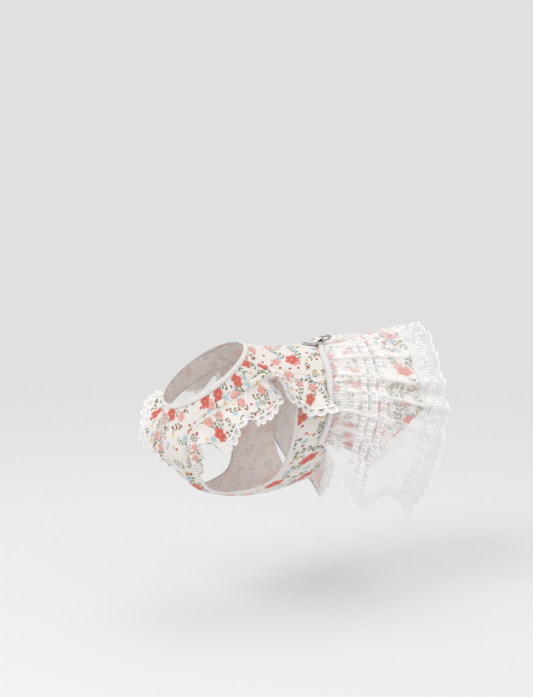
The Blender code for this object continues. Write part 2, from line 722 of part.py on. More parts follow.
def ring_bar():
    """Where the ring's straight bar lies, over the waist binding, as (y, z)."""
    loop_radius = RING_WIRE / 2 + BAR_CLEARANCE + TAB_WALL
    return binding_edge(0.6)[0], binding_edge(0.0)[1] + SEAM_GAP + loop_radius


def make_ring_tab():
    """A folded loop of the print cloth that holds the ring's bar."""
    bar_y, bar_z = ring_bar()
    radius = RING_WIRE / 2 + BAR_CLEARANCE + TAB_WALL / 2
    seat = SEAM_GAP + TAB_WALL / 2
    layer = TAB_WALL + SEAM_GAP
    front = bar_y - TAB_LENGTH
    foot = binding_edge(0.0)[0] - 2 * (TAB_WALL + WAIST_BINDING_WIDTH / 4)
    turns = np.radians(np.linspace(-90.0, 90.0, 9))
    loop = [(bar_y + radius * math.cos(turn), bar_z + radius * math.sin(turn)) for turn in turns]
    under = [(front, spine_top(front) + seat), (foot, spine_top(foot) + seat),
             (binding_edge(0.0)[0] - TAB_WALL, bar_z - radius)]
    over = [(bar_y - radius, bar_z + radius * 0.9), (foot - layer / 4, spine_top(foot) + seat + layer),
            (front, spine_top(front) + seat + layer)]
    path = under + loop + over
    grid = np.array([[(edge * TAB_WIDTH / 2, y, z) for edge in (-1.0, 1.0)] for y, z in path])
    tab = add_grid("ring_tab", grid, TAB_WALL, "print_cotton")
    tab.modifiers["wall"].offset = 0.0


def make_lead_ring():
    """A wire ring with one straight bar, turned about the bar to lie back on the skirt."""
    bar_y, bar_z = ring_bar()
    half = (RING_WIDTH - RING_WIRE) / 2
    depth = RING_DEPTH - RING_WIRE
    corners = [(math.sin(turn) * RING_CORNER, RING_CORNER - math.cos(turn) * RING_CORNER)
               for turn in np.radians(np.linspace(0.0, 90.0, 4))]
    start = [(half - RING_CORNER + x, y) for x, y in corners]
    bow = [(half * math.cos(turn), RING_CORNER + (depth - RING_CORNER) * math.sin(turn))
           for turn in np.radians(np.linspace(0.0, 180.0, RING_TURN_POINTS + 1))[1:-1]]
    end = [(-x, y) for x, y in reversed(start)]
    curve = bpy.data.curves.new("lead_ring", "CURVE")
    curve.dimensions = "3D"
    curve.bevel_depth = RING_WIRE / 2
    curve.bevel_resolution = 2
    outline = start + bow + end
    spline = curve.splines.new("POLY")
    spline.points.add(len(outline) - 1)
    for point, (x, y) in zip(spline.points, outline):
        point.co = (x, y, 0.0, 1.0)
    spline.use_cyclic_u = True
    curve.materials.append(material("dark_nickel"))
    ring = bpy.data.objects.new("lead_ring", curve)
    ring.location = (0.0, bar_y, bar_z)
    ring.rotation_euler = (math.radians(RING_TILT), 0.0, 0.0)
    bpy.context.collection.objects.link(ring)


def clear_scene():
    """Empties the scene."""
    for old in list(bpy.data.objects):
        bpy.data.objects.remove(old, do_unlink=True)


def main():
    """Builds the whole dress."""
    clear_scene()
    make_back_panel()
    make_chest_panel()
    make_belly_band()
    make_neck_binding()
    make_waist_binding()
    for word, side in (("left", 1.0), ("right", -1.0)):
        make_armhole_binding(f"armhole_binding_{word}", side)
        make_ruffle(word, side)
        make_ruffle_lace(word, side)
    make_print_skirt()
    make_tulle_skirt()
    make_lace_rows()
    make_ring_tab()
    make_lead_ring()


main()
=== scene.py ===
"""Looks of a dress for a small dog: a print bodice, lace-edged ruffles, and a print and tulle skirt.

Metres, +Z up. The wearer faces -Y and the wearer's left side is +X. The origin lies on the spine, on the
inner face of the back panel. A share runs along the body form from the neck (0) to the waist (1), and an
angle runs round it from the spine (0) to the belly (180 degrees).
"""
from __future__ import annotations

import logging
import math
from collections import namedtuple
from collections.abc import Callable
from dataclasses import dataclass
from enum import Enum

import bpy
import numpy as np
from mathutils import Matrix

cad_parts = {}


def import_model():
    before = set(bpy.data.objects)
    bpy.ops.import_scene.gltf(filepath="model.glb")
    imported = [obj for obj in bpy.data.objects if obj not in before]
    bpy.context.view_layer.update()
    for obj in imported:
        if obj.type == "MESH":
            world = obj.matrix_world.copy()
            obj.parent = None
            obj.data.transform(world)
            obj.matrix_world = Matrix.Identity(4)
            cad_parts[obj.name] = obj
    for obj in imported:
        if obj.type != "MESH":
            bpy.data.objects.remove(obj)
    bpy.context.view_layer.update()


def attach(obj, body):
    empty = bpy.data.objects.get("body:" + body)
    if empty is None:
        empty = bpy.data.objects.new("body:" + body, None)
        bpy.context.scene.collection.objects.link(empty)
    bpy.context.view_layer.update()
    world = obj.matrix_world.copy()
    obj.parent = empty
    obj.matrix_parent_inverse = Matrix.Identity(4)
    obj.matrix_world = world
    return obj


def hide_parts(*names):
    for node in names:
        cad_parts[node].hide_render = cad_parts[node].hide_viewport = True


LOG = logging.getLogger("dress")
Array = np.ndarray
SEED = 7

# Body form: shares of the form's sizes
BodySection = namedtuple("BodySection", "share top_back top_up fore down half_width")
BODY = (
    BodySection(0.00, -0.600, 0.050, 1.000, 0.336, 0.708),
    BodySection(0.25, -0.356, 0.012, 1.000, 0.656, 0.854),
    BodySection(0.50, -0.111, 0.000, 0.760, 0.934, 0.958),
    BodySection(0.75, 0.144, -0.008, 0.347, 1.000, 1.000),
    BodySection(1.00, 0.400, -0.070, -0.033, 0.934, 0.979),
)

# Armhole edges by angle, as shares of the form's length
ArmholeRow = namedtuple("ArmholeRow", "angle front rear")
ARMHOLE = (
    ArmholeRow(51.0, 0.315, 0.595),
    ArmholeRow(62.0, 0.262, 0.598),
    ArmholeRow(73.5, 0.212, 0.608),
    ArmholeRow(89.5, 0.168, 0.655),
    ArmholeRow(111.5, 0.136, 0.698),
    ArmholeRow(126.0, 0.130, 0.705),
    ArmholeRow(136.0, 0.145, 0.692),
    ArmholeRow(143.0, 0.195, 0.662),
    ArmholeRow(148.5, 0.275, 0.625),
    ArmholeRow(154.0, 0.365, 0.585),
    ArmholeRow(158.0, 0.430, 0.548),
    ArmholeRow(160.5, 0.484, 0.488),
)
ARMHOLE_HEART = (68.0, 146.0)

# Angle of the seam between the back panel and the under panels, by share
SeamRow = namedtuple("SeamRow", "share angle")
SIDE_SEAM = (
    SeamRow(0.000, 50.0),
    SeamRow(0.315, 50.5),
    SeamRow(0.595, 53.5),
    SeamRow(0.850, 58.5),
    SeamRow(1.000, 61.0),
)

# Waist seam and rear edge of the belly band by angle, as shares of the form's length
WaistRow = namedtuple("WaistRow", "angle seam band_rear")
WAIST = (
    WaistRow(0.0, 0.815, 0.920),
    WaistRow(7.0, 0.810, 0.920),
    WaistRow(18.0, 0.750, 0.920),
    WaistRow(30.0, 0.745, 0.920),
    WaistRow(45.0, 0.770, 0.920),
    WaistRow(60.0, 0.785, 0.930),
    WaistRow(75.0, 0.820, 0.940),
    WaistRow(100.0, 0.835, 0.930),
    WaistRow(125.0, 0.830, 0.960),
    WaistRow(180.0, 0.830, 1.000),
)

# Ruffles by place along the seam: share of full width, then angle up from the cloth and lean by side
RuffleRow = namedtuple("RuffleRow", "place width lift_left lean_left lift_right lean_right")
RUFFLE = (
    RuffleRow(0.000, 0.36, 17.0, 16.0, 40.0, 0.0),
    RuffleRow(0.084, 0.60, 24.0, 18.0, 50.0, -8.0),
    RuffleRow(0.169, 0.82, 36.0, 19.0, 56.0, -16.0),
    RuffleRow(0.243, 0.95, 19.0, 0.0, 50.0, -22.0),
    RuffleRow(0.301, 1.00, 6.0, 0.0, 46.0, -20.0),
    RuffleRow(0.348, 1.00, 12.0, 4.0, 58.0, -16.0),
    RuffleRow(0.396, 1.00, 47.0, 8.0, 70.0, -14.0),
    RuffleRow(0.438, 1.00, 55.0, 4.0, 71.0, -14.0),
    RuffleRow(0.517, 1.00, 32.0, -13.0, 50.0, -13.0),
    RuffleRow(0.601, 1.00, 24.0, -15.0, 28.0, -15.0),
    RuffleRow(0.675, 1.00, 38.0, -23.0, 38.0, -23.0),
    RuffleRow(0.744, 1.00, 46.0, -44.0, 46.0, -44.0),
    RuffleRow(0.781, 1.00, 48.0, -30.0, 48.0, -30.0),
    RuffleRow(0.823, 1.00, 27.0, -14.0, 27.0, -14.0),
    RuffleRow(0.902, 1.00, 18.0, -19.0, 18.0, -19.0),
    RuffleRow(0.965, 1.00, 7.0, -10.0, 7.0, -10.0),
    RuffleRow(1.000, 0.95, 28.0, 14.0, 28.0, 14.0),
)

# Skirt hem by angle, + on the left: shares of the skirt's sizes, and of its length for the print layer
HemRow = namedtuple("HemRow", "angle out back down print_share")
HEM = (
    HemRow(-104.0, -0.89, 0.56, 1.035, 0.93),
    HemRow(-98.0, -0.96, 0.65, 0.960, 0.88),
    HemRow(-90.0, -1.00, 0.75, 0.780, 0.80),
    HemRow(-80.0, -1.00, 0.83, 0.550, 0.76),
    HemRow(-70.0, -1.00, 0.86, 0.367, 0.82),
    HemRow(-55.0, -0.87, 0.90, 0.220, 0.82),
    HemRow(-40.0, -0.68, 0.94, 0.100, 0.80),
    HemRow(-20.0, -0.36, 1.00, -0.040, 0.80),
    HemRow(0.0, 0.00, 1.04, -0.080, 0.79),
    HemRow(20.0, 0.36, 1.00, -0.040, 0.80),
    HemRow(40.0, 0.68, 0.94, 0.100, 0.80),
    HemRow(55.0, 0.87, 0.90, 0.220, 0.82),
    HemRow(70.0, 1.02, 0.87, 0.367, 0.82),
    HemRow(80.0, 1.00, 0.84, 0.513, 0.72),
    HemRow(90.0, 0.95, 0.81, 0.680, 0.61),
    HemRow(98.0, 0.82, 0.75, 0.867, 0.54),
    HemRow(104.0, 0.64, 0.69, 1.003, 0.50),
)

# Skirt folds by angle: shares of the fold depth, and half widths in degrees
FoldRow = namedtuple("FoldRow", "angle depth half_width")
FOLDS = (
    FoldRow(11.0, 0.50, 5.0),
    FoldRow(27.0, 0.60, 5.5),
    FoldRow(43.0, 0.70, 5.5),
    FoldRow(60.0, 1.00, 5.5),
    FoldRow(75.0, 0.70, 5.0),
    FoldRow(87.0, 0.60, 5.5),
    FoldRow(98.5, 0.40, 5.0),
)

# Droop of the skirt's front edges by share of their length, on each side
DroopRow = namedtuple("DroopRow", "length left right")
DROOP = (
    DroopRow(0.00, 0.00, 0.00),
    DroopRow(0.17, 0.40, 0.16),
    DroopRow(0.33, 0.75, 0.36),
    DroopRow(0.50, 1.00, 0.46),
    DroopRow(0.66, 0.42, 0.36),
    DroopRow(0.83, 0.06, 0.12),
    DroopRow(1.00, 0.00, 0.00),
)


# Sharp edges of the tulle's folds: their angles at waist and hem, and the shares of length they span
CreaseRow = namedtuple("CreaseRow", "waist hem start end")
CREASES = (
    CreaseRow(15.0, 21.0, 0.00, 0.55),
    CreaseRow(34.0, 37.0, 0.05, 0.80),
    CreaseRow(48.5, 58.0, 0.05, 1.02),
    CreaseRow(62.0, 71.0, 0.10, 0.95),
    CreaseRow(76.5, 88.0, 0.00, 0.70),
    CreaseRow(89.0, 101.0, 0.00, 0.60),
)


class Side(Enum):
    """One side of the dress, as the wearer sees it."""

    LEFT = 1.0
    RIGHT = -1.0

    @property
    def word(self) -> str:
        """The side's name in lower case."""
        return self.name.lower()


class Hold(Enum):
    """How a sheet of cloth is held."""

    STRETCHED = "stretched"
    GATHERED = "gathered"


def through(rows: tuple, key: str, field: str, where: Array | float) -> Array:
    """Reads a smooth curve through a table.

    Args:
        rows: The table's rows.
        key: The column that is looked up.
        field: The column whose value is wanted.
        where: The places in the key column.

    Returns:
        The field's values at those places.
    """
    keys = np.array([getattr(row, key) for row in rows], dtype=float)
    values = np.array([getattr(row, field) for row in rows], dtype=float)
    slopes = np.gradient(values, keys)
    where = np.asarray(where, dtype=float)
    left = np.clip(np.searchsorted(keys, where) - 1, 0, len(keys) - 2)
    span = keys[left + 1] - keys[left]
    t = (where - keys[left]) / span
    start, end = values[left], values[left + 1]
    rise, fall = slopes[left] * span, slopes[left + 1] * span
    return (start * (2 * t**3 - 3 * t**2 + 1) + end * (3 * t**2 - 2 * t**3)
            + rise * (t**3 - 2 * t**2 + t) + fall * (t**3 - t**2))


def unit(vectors: Array) -> Array:
    """The vectors at length one."""
    return vectors / np.linalg.norm(vectors, axis=-1, keepdims=True)


def run_lengths(points: Array, axis: int) -> Array:
    """Lengths run along one axis of a grid of points, from zero."""
    steps = np.linalg.norm(np.diff(points, axis=axis), axis=-1)
    return np.insert(np.cumsum(steps, axis=axis), 0, 0.0, axis=axis)


def ripple(u: Array, v: Array, size: float, seed: int, waves: int = 7) -> Array:
    """Makes a smooth random relief.

    Args:
        u: First place on the cloth, in metres.
        v: Second place on the cloth, in metres.
        size: The usual distance between crests, in metres.
        seed: Picks the pattern.
        waves: How many plane waves are summed.

    Returns:
        Values of about -1 to 1.
    """
    draw = np.random.default_rng(SEED * 100 + seed)
    total = np.zeros(np.broadcast(u, v).shape)
    for _ in range(waves):
        heading, phase = draw.uniform(0.0, 2 * math.pi, 2)
        pitch = size * draw.uniform(0.7, 1.6)
        total = total + np.sin(2 * math.pi * (u * math.cos(heading) + v * math.sin(heading)) / pitch + phase)
    return total / math.sqrt(waves) / 1.5


@dataclass(frozen=True)
class BodyForm:
    """The form that the bodice lies on."""

    back_length: float = 0.090
    chest_depth: float = 0.122
    girth_width: float = 0.096
    fore_reach: float = 0.121

    def point(self, share: Array | float, angle: Array | float, rise: Array | float = 0.0) -> Array:
        """Finds points of the form.

        Args:
            share: Places from the neck (0) to the waist (1).
            angle: Degrees round the form from the spine, + on the left side.
            rise: Metres proud of the form.

        Returns:
            The points, in metres.
        """
        share, angle = np.broadcast_arrays(np.asarray(share, float), np.radians(np.asarray(angle, float)))
        top = np.stack([through(BODY, "share", "top_back", share) * self.back_length,
                        through(BODY, "share", "top_up", share) * self.chest_depth], -1)
        bottom = np.stack([-through(BODY, "share", "fore", share) * self.fore_reach,
                           -through(BODY, "share", "down", share) * self.chest_depth], -1)
        half = (top - bottom) / 2
        half = half + unit(half) * np.asarray(rise)[..., None]
        centre = (top + bottom) / 2 + half * np.cos(angle)[..., None]
        width = through(BODY, "share", "half_width", share) * self.girth_width / 2 + rise
        return np.stack([width * np.sin(angle), centre[..., 0], centre[..., 1]], -1)

    def outward(self, share: Array, angle: Array) -> Array:
        """Unit vectors that point out of the form."""
        step = 1e-3
        back = unit(self.point(share + step, angle) - self.point(share - step, angle))
        around = unit(self.point(share, angle + step) - self.point(share, angle - step))
        return unit(np.cross(around, back))

    def backward(self, share: Array, angle: Array) -> Array:
        """Unit vectors along the form towards the waist."""
        step = 1e-3
        return unit(self.point(share + step, angle) - self.point(share - step, angle))

    def share_step(self, share: Array | float, angle: Array | float, length: float) -> Array:
        """The share that spans a length in metres along the form."""
        step = 1e-3
        span = np.linalg.norm(self.point(share + step, angle) - self.point(share, angle), axis=-1)
        return length * step / span

    def cloth_uv(self, share: Array, angle: Array) -> Array:
        """Coordinates in metres of cloth that lies on the form: round it, and from the neck back."""
        share, angle = np.broadcast_arrays(share, angle)
        turns = np.linspace(-180.0, 360.0, 541)
        round_run = run_lengths(self.point(0.45, turns), 0)
        steps = np.linspace(0.0, 1.0, 13)[:, None, None]
        return np.stack([np.interp(angle, turns, round_run),
                         run_lengths(self.point(share * steps, angle), 0)[-1]], -1)

    def moved(self, start: tuple, goal: tuple, distance: float) -> tuple:
        """Shares and angles that lie a distance from the start, towards the goal."""
        span = np.linalg.norm(self.point(*goal) - self.point(*start), axis=-1)
        part = distance / span
        return start[0] + (goal[0] - start[0]) * part, start[1] + (goal[1] - start[1]) * part


FORM = BodyForm()


def armhole_edge(angle: Array, field: str) -> Array:
    """The share of the armhole's front or rear edge at an angle, closed below its last row."""
    last = ARMHOLE[-1]
    inside = through(ARMHOLE, "angle", field, np.clip(angle, ARMHOLE[0].angle, last.angle))
    return np.where(np.asarray(angle) > last.angle, getattr(last, field), inside)


def under_angle(table_angle: Array, share: Array) -> Array:
    """Angles that start at the side seam and end at the belly, for the armhole table's angles."""
    first = ARMHOLE[0].angle
    seam = through(SIDE_SEAM, "share", "angle", share)
    return seam + (180.0 - seam) * (table_angle - first) / (180.0 - first)


@dataclass(frozen=True)
class Signal:
    """One value in a node tree, with the usual arithmetic."""

    graph: Graph
    socket: bpy.types.NodeSocket

    def __add__(self, other: Signal | float) -> Signal:
        """Sum."""
        return self.graph.math("ADD", self, other)

    def __sub__(self, other: Signal | float) -> Signal:
        """Difference."""
        return self.graph.math("SUBTRACT", self, other)

    def __rsub__(self, other: float) -> Signal:
        """Difference from a number."""
        return self.graph.math("SUBTRACT", other, self)

    def __mul__(self, other: Signal | float) -> Signal:
        """Product."""
        return self.graph.math("MULTIPLY", self, other)

    def __truediv__(self, other: Signal | float) -> Signal:
        """Quotient."""
        return self.graph.math("DIVIDE", self, other)

    __radd__ = __add__
    __rmul__ = __mul__

    def of(self, operation: str) -> Signal:
        """A one-value operation of the Math node, such as SINE or FRACT."""
        return self.graph.math(operation, self)

    def power(self, exponent: float) -> Signal:
        """Power."""
        return self.graph.math("POWER", self, exponent)

    def below(self, limit: Signal | float, soft: float) -> Signal:
        """One where the value lies below the limit and zero above it, over a soft step."""
        return self.graph.math("DIVIDE", limit - self, 2 * soft, clamp=False).plus_half()

    def plus_half(self) -> Signal:
        """The value plus a half, kept from 0 to 1."""
        return self.graph.math("ADD", self, 0.5, clamp=True)

    def either(self, other: Signal) -> Signal:
        """The larger of two."""
        return self.graph.math("MAXIMUM", self, other)


class Graph:
    """Adds nodes to one tree and links them."""

    def __init__(self, tree: bpy.types.NodeTree) -> None:
        """Keeps the tree.

        Args:
            tree: The node tree that is filled.
        """
        self.tree = tree

    def node(self, kind: str, feeds: dict | None = None, **settings: object) -> bpy.types.Node:
        """Adds one node.

        Args:
            kind: The node's type name.
            feeds: Values or signals by input name or index.
            settings: Attributes of the node.

        Returns:
            The new node.
        """
        made = self.tree.nodes.new(kind)
        for name, value in settings.items():
            setattr(made, name, value)
        for key, value in (feeds or {}).items():
            self.feed(made.inputs[key], value)
        return made

    def feed(self, socket: bpy.types.NodeSocket, value: object) -> None:
        """Links a signal to a socket, or sets the socket's own value."""
        if isinstance(value, Signal):
            self.tree.links.new(value.socket, socket)
        else:
            socket.default_value = value

    def take(self, node: bpy.types.Node, output: str | int = 0) -> Signal:
        """One output of a node as a signal."""
        return Signal(self, node.outputs[output])

    def math(self, operation: str, *values: object, clamp: bool = False) -> Signal:
        """A Math node."""
        feeds = dict(enumerate(values))
        return self.take(self.node("ShaderNodeMath", feeds, operation=operation, use_clamp=clamp))

    def join(self, x: object, y: object) -> Signal:
        """A vector from two values."""
        return self.take(self.node("ShaderNodeCombineXYZ", {0: x, 1: y}))

    def split(self, vector: Signal) -> tuple[Signal, Signal, Signal]:
        """The three values of a vector or colour."""
        made = self.node("ShaderNodeSeparateXYZ", {0: vector})
        return self.take(made, 0), self.take(made, 1), self.take(made, 2)

    def blend(self, factor: object, first: object, second: object) -> Signal:
        """A colour mix: the first at factor 0 and the second at factor 1."""
        made = self.node("ShaderNodeMix", {0: factor, 6: first, 7: second}, data_type="RGBA")
        return self.take(made, 2)

    def noise(self, vector: Signal, scale: float, detail: float = 2.0) -> Signal:
        """Noise of 0 to 1."""
        return self.take(self.node("ShaderNodeTexNoise", {"Vector": vector, "Scale": scale, "Detail": detail}))

    def bump(self, height: Signal, strength: float, distance: float) -> Signal:
        """A normal from a height."""
        feeds = {"Height": height, "Strength": strength, "Distance": distance}
        return self.take(self.node("ShaderNodeBump", feeds))


class Effect:
    """A shader node group that several finishes share, made once."""

    made: dict[str, bpy.types.NodeTree] = {}

    def __init__(self, name: str, inputs: dict[str, float | None], outputs: tuple[str, ...]) -> None:
        """Opens a group.

        Args:
            name: The group's name.
            inputs: Default values by name; None makes a vector input.
            outputs: Names of the outputs, which are all plain values.
        """
        self.tree = bpy.data.node_groups.new(name, "ShaderNodeTree")
        for label, value in inputs.items():
            kind = "NodeSocketVector" if value is None else "NodeSocketFloat"
            socket = self.tree.interface.new_socket(label, in_out="INPUT", socket_type=kind)
            if value is not None:
                socket.default_value = value
        for label in outputs:
            self.tree.interface.new_socket(label, in_out="OUTPUT", socket_type="NodeSocketFloat")
        self.graph = Graph(self.tree)
        self.entry = self.graph.node("NodeGroupInput")
        self.exit = self.graph.node("NodeGroupOutput")

    def given(self, label: str) -> Signal:
        """One of the group's inputs."""
        return self.graph.take(self.entry, label)

    def give(self, **signals: Signal) -> bpy.types.NodeTree:
        """Links the group's outputs and returns its tree."""
        for label, signal in signals.items():
            self.graph.feed(self.exit.inputs[label], signal)
        return self.tree


def shared(name: str, build: Callable[[], bpy.types.NodeTree]) -> bpy.types.NodeTree:
    """The group of that name, built at its first use."""
    if name not in Effect.made:
        Effect.made[name] = build()
    return Effect.made[name]


def scattered(effect: Effect) -> tuple[Signal, Signal, Signal, Signal, Signal]:
    """Scatters one motif to a cell of about the group's Spacing.

    Args:
        effect: A group with the inputs Vector, Spacing and Seed.

    Returns:
        Place from the motif's middle along and across, then three random values from 0 to 1.
    """
    graph = effect.graph
    x, y, _ = graph.split(effect.given("Vector"))
    spacing, seed = effect.given("Spacing"), effect.given("Seed")
    cell_x, cell_y = x / spacing + seed, y / spacing + seed * 1.7
    feeds = {"Vector": graph.join(cell_x, cell_y), "Scale": 1.0, "Randomness": 0.55}
    cells = graph.node("ShaderNodeTexVoronoi", feeds, voronoi_dimensions="2D")
    mid_x, mid_y, _ = graph.split(graph.take(cells, "Position"))
    return ((cell_x - mid_x) * spacing, (cell_y - mid_y) * spacing,
            *graph.split(graph.take(cells, "Color")))


def flower_group() -> bpy.types.NodeTree:
    """Scattered flowers with round petals; zero petals makes dots."""
    inputs = {"Vector": None, "Spacing": 0.02, "Radius": 0.005, "Petals": 5.0, "Share": 0.8, "Seed": 0.0}
    effect = Effect("flowers", inputs, ("Mask", "Rim", "Lobe", "Swirl"))
    graph = effect.graph
    x, y, turn, present, _ = scattered(effect)
    heading = graph.math("ARCTAN2", y, x) + turn * (2 * math.pi)
    ratio = (x * x + y * y).of("SQRT") / effect.given("Radius")
    lobes = (heading * effect.given("Petals") * 0.5).of("COSINE").of("ABSOLUTE").power(0.55)
    wobble = graph.noise(effect.given("Vector"), 700.0) * 0.22 - 0.11
    limit = lobes * 0.42 + 0.58 + wobble
    mask = ratio.below(limit, 0.05) * present.below(effect.given("Share"), 0.001)
    swirl = (heading * 2.0 + ratio * 9.0).of("SINE")
    return effect.give(Mask=mask, Rim=ratio / limit, Lobe=lobes, Swirl=swirl)


def sprig_group() -> bpy.types.NodeTree:
    """Scattered curved stems with pairs of leaves."""
    inputs = {"Vector": None, "Spacing": 0.013, "Length": 0.010, "Share": 0.9, "Seed": 0.0}
    effect = Effect("sprigs", inputs, ("Leaf", "Stem", "Pick"))
    graph = effect.graph
    x, y, turn, present, pick = scattered(effect)
    length = effect.given("Length")
    heading = turn * (2 * math.pi)
    cosine, sine = heading.of("COSINE"), heading.of("SINE")
    along = (x * cosine + y * sine) / length
    across = (y * cosine - x * sine) / length - along * along * 0.9 + 0.08
    inside = along.of("ABSOLUTE").below(0.5, 0.02) * present.below(effect.given("Share"), 0.001)
    stem = across.of("ABSOLUTE").below(0.022, 0.012)
    place = ((along * 3.0 + 0.5).of("FRACT") - 0.5) / 3.0
    side = across.of("ABSOLUTE") - 0.13
    tilt = 0.70
    leaf_x = (place * math.cos(tilt) + side * math.sin(tilt)) / 0.150
    leaf_y = (side * math.cos(tilt) - place * math.sin(tilt)) / 0.074
    leaf = (leaf_x * leaf_x + leaf_y * leaf_y).below(1.0, 0.15)
    return effect.give(Leaf=leaf * inside, Stem=stem * inside, Pick=pick)


def weave_group() -> bpy.types.NodeTree:
    """Plain weave threads with their unevenness."""
    effect = Effect("weave", {"Vector": None, "Pitch": 0.0004}, ("Height", "Shade"))
    graph = effect.graph
    x, y, _ = graph.split(effect.given("Vector"))
    pitch = effect.given("Pitch")
    warp = (x / pitch * math.pi).of("SINE").of("ABSOLUTE")
    weft = (y / pitch * math.pi).of("SINE").of("ABSOLUTE")
    uneven = graph.noise(effect.given("Vector"), 160.0, 4.0)
    return effect.give(Height=warp.either(weft) * 0.7 + uneven * 0.3, Shade=uneven)


def net_group() -> bpy.types.NodeTree:
    """Fine tulle net: threads round small cells."""
    effect = Effect("net", {"Vector": None, "Cell": 0.0009}, ("Thread",))
    graph = effect.graph
    x, y, _ = graph.split(effect.given("Vector"))
    cell = effect.given("Cell")
    feeds = {"Vector": graph.join(x / cell, y / cell), "Scale": 1.0, "Randomness": 0.45}
    cells = graph.node("ShaderNodeTexVoronoi", feeds, voronoi_dimensions="2D", feature="DISTANCE_TO_EDGE")
    return effect.give(Thread=graph.take(cells, "Distance").below(0.10, 0.05))


def scallop_lace_group() -> bpy.types.NodeTree:
    """Scalloped edging lace: a half-moon opening, small eyelets round it, and picots on the edge."""
    effect = Effect("scallop_lace", {"Vector": None, "Moon": 1.0}, ("Alpha", "Height"))
    graph = effect.graph
    u, v, _ = graph.split(effect.given("Vector"))
    x = u.of("FRACT") - 0.5
    dip = (x.of("ABSOLUTE") * 2.0).power(2.4) * 0.34
    picot = (u * math.pi * 7.0).of("SINE").of("ABSOLUTE") * 0.065
    edge = 0.935 - dip + picot
    solid = v.below(edge, 0.012)
    moon_x, moon_y = x / 0.27, (v - 0.18) / 0.30
    moon = (moon_x * moon_x + moon_y * moon_y).below(1.0, 0.05) * (0.20 - v).below(0.0, 0.012)
    ring_x, ring_y = x / 0.385, (v - 0.14) / 0.55
    ring = (ring_x * ring_x + ring_y * ring_y).of("SQRT")
    heading = graph.math("ARCTAN2", ring_y, ring_x)
    spot = ((heading * 7.0 / math.pi).of("FRACT") - 0.5) / 0.27
    thick = (ring - 1.0) / 0.105
    eyelet = (spot * spot + thick * thick).below(1.0, 0.12) * (0.10 - v).below(0.0, 0.01)
    holes = (moon * effect.given("Moon")).either(eyelet)
    cord = (v - edge + 0.055).of("ABSOLUTE").below(0.045, 0.04)
    rim = (ring - 0.80).of("ABSOLUTE").below(0.05, 0.05)
    header = v.below(0.10, 0.05)
    grain = graph.noise(effect.given("Vector"), 26.0, 3.0)
    height = cord.either(rim).either(header) * 0.7 + grain * 0.5 - holes
    return effect.give(Alpha=solid * (1.0 - holes), Height=height)


def insertion_lace_group() -> bpy.types.NodeTree:
    """Narrow sewn-on lace: rings and pairs of small round eyelets, and one scalloped edge."""
    effect = Effect("insertion_lace", {"Vector": None}, ("Alpha", "Height"))
    graph = effect.graph
    u, v, _ = graph.split(effect.given("Vector"))
    x = (u.of("FRACT") - 0.5) * 8.5
    y = (v - 0.48) * 6.0
    radius = (x * x + y * y).of("SQRT")
    heading = graph.math("ARCTAN2", y, x)
    spot = ((heading * 3.0 / math.pi).of("FRACT") - 0.5) * 1.36 / 0.46
    ring = (radius - 1.30) / 0.46
    flower = (spot * spot + ring * ring).below(1.0, 0.15)
    side_x = ((u + 0.5).of("FRACT") - 0.5) * 8.5 / 0.55
    side_y = (y.of("ABSOLUTE") - 0.85) / 0.45
    pairs = (side_x * side_x + side_y * side_y).below(1.0, 0.15)
    pin_x = ((u * 6.0).of("FRACT") - 0.5) / 0.20
    pin_y = (v - 0.10) / 0.042
    pins = (pin_x * pin_x + pin_y * pin_y).below(1.0, 0.15)
    bow = (((u * 2.0).of("FRACT") - 0.5).of("ABSOLUTE") * 2.0).power(2.0) * 0.13
    solid = v.below(0.98 - bow, 0.015)
    holes = flower.either(pairs).either(pins)
    rims = (radius - 2.15).of("ABSOLUTE").below(0.22, 0.15).either((v - 0.91 + bow).of("ABSOLUTE").below(0.05, 0.03))
    height = rims * 0.35 + graph.noise(effect.given("Vector"), 24.0, 3.0) * 0.4 + 0.35 - holes
    return effect.give(Alpha=solid * (1.0 - holes * 0.55), Height=height)


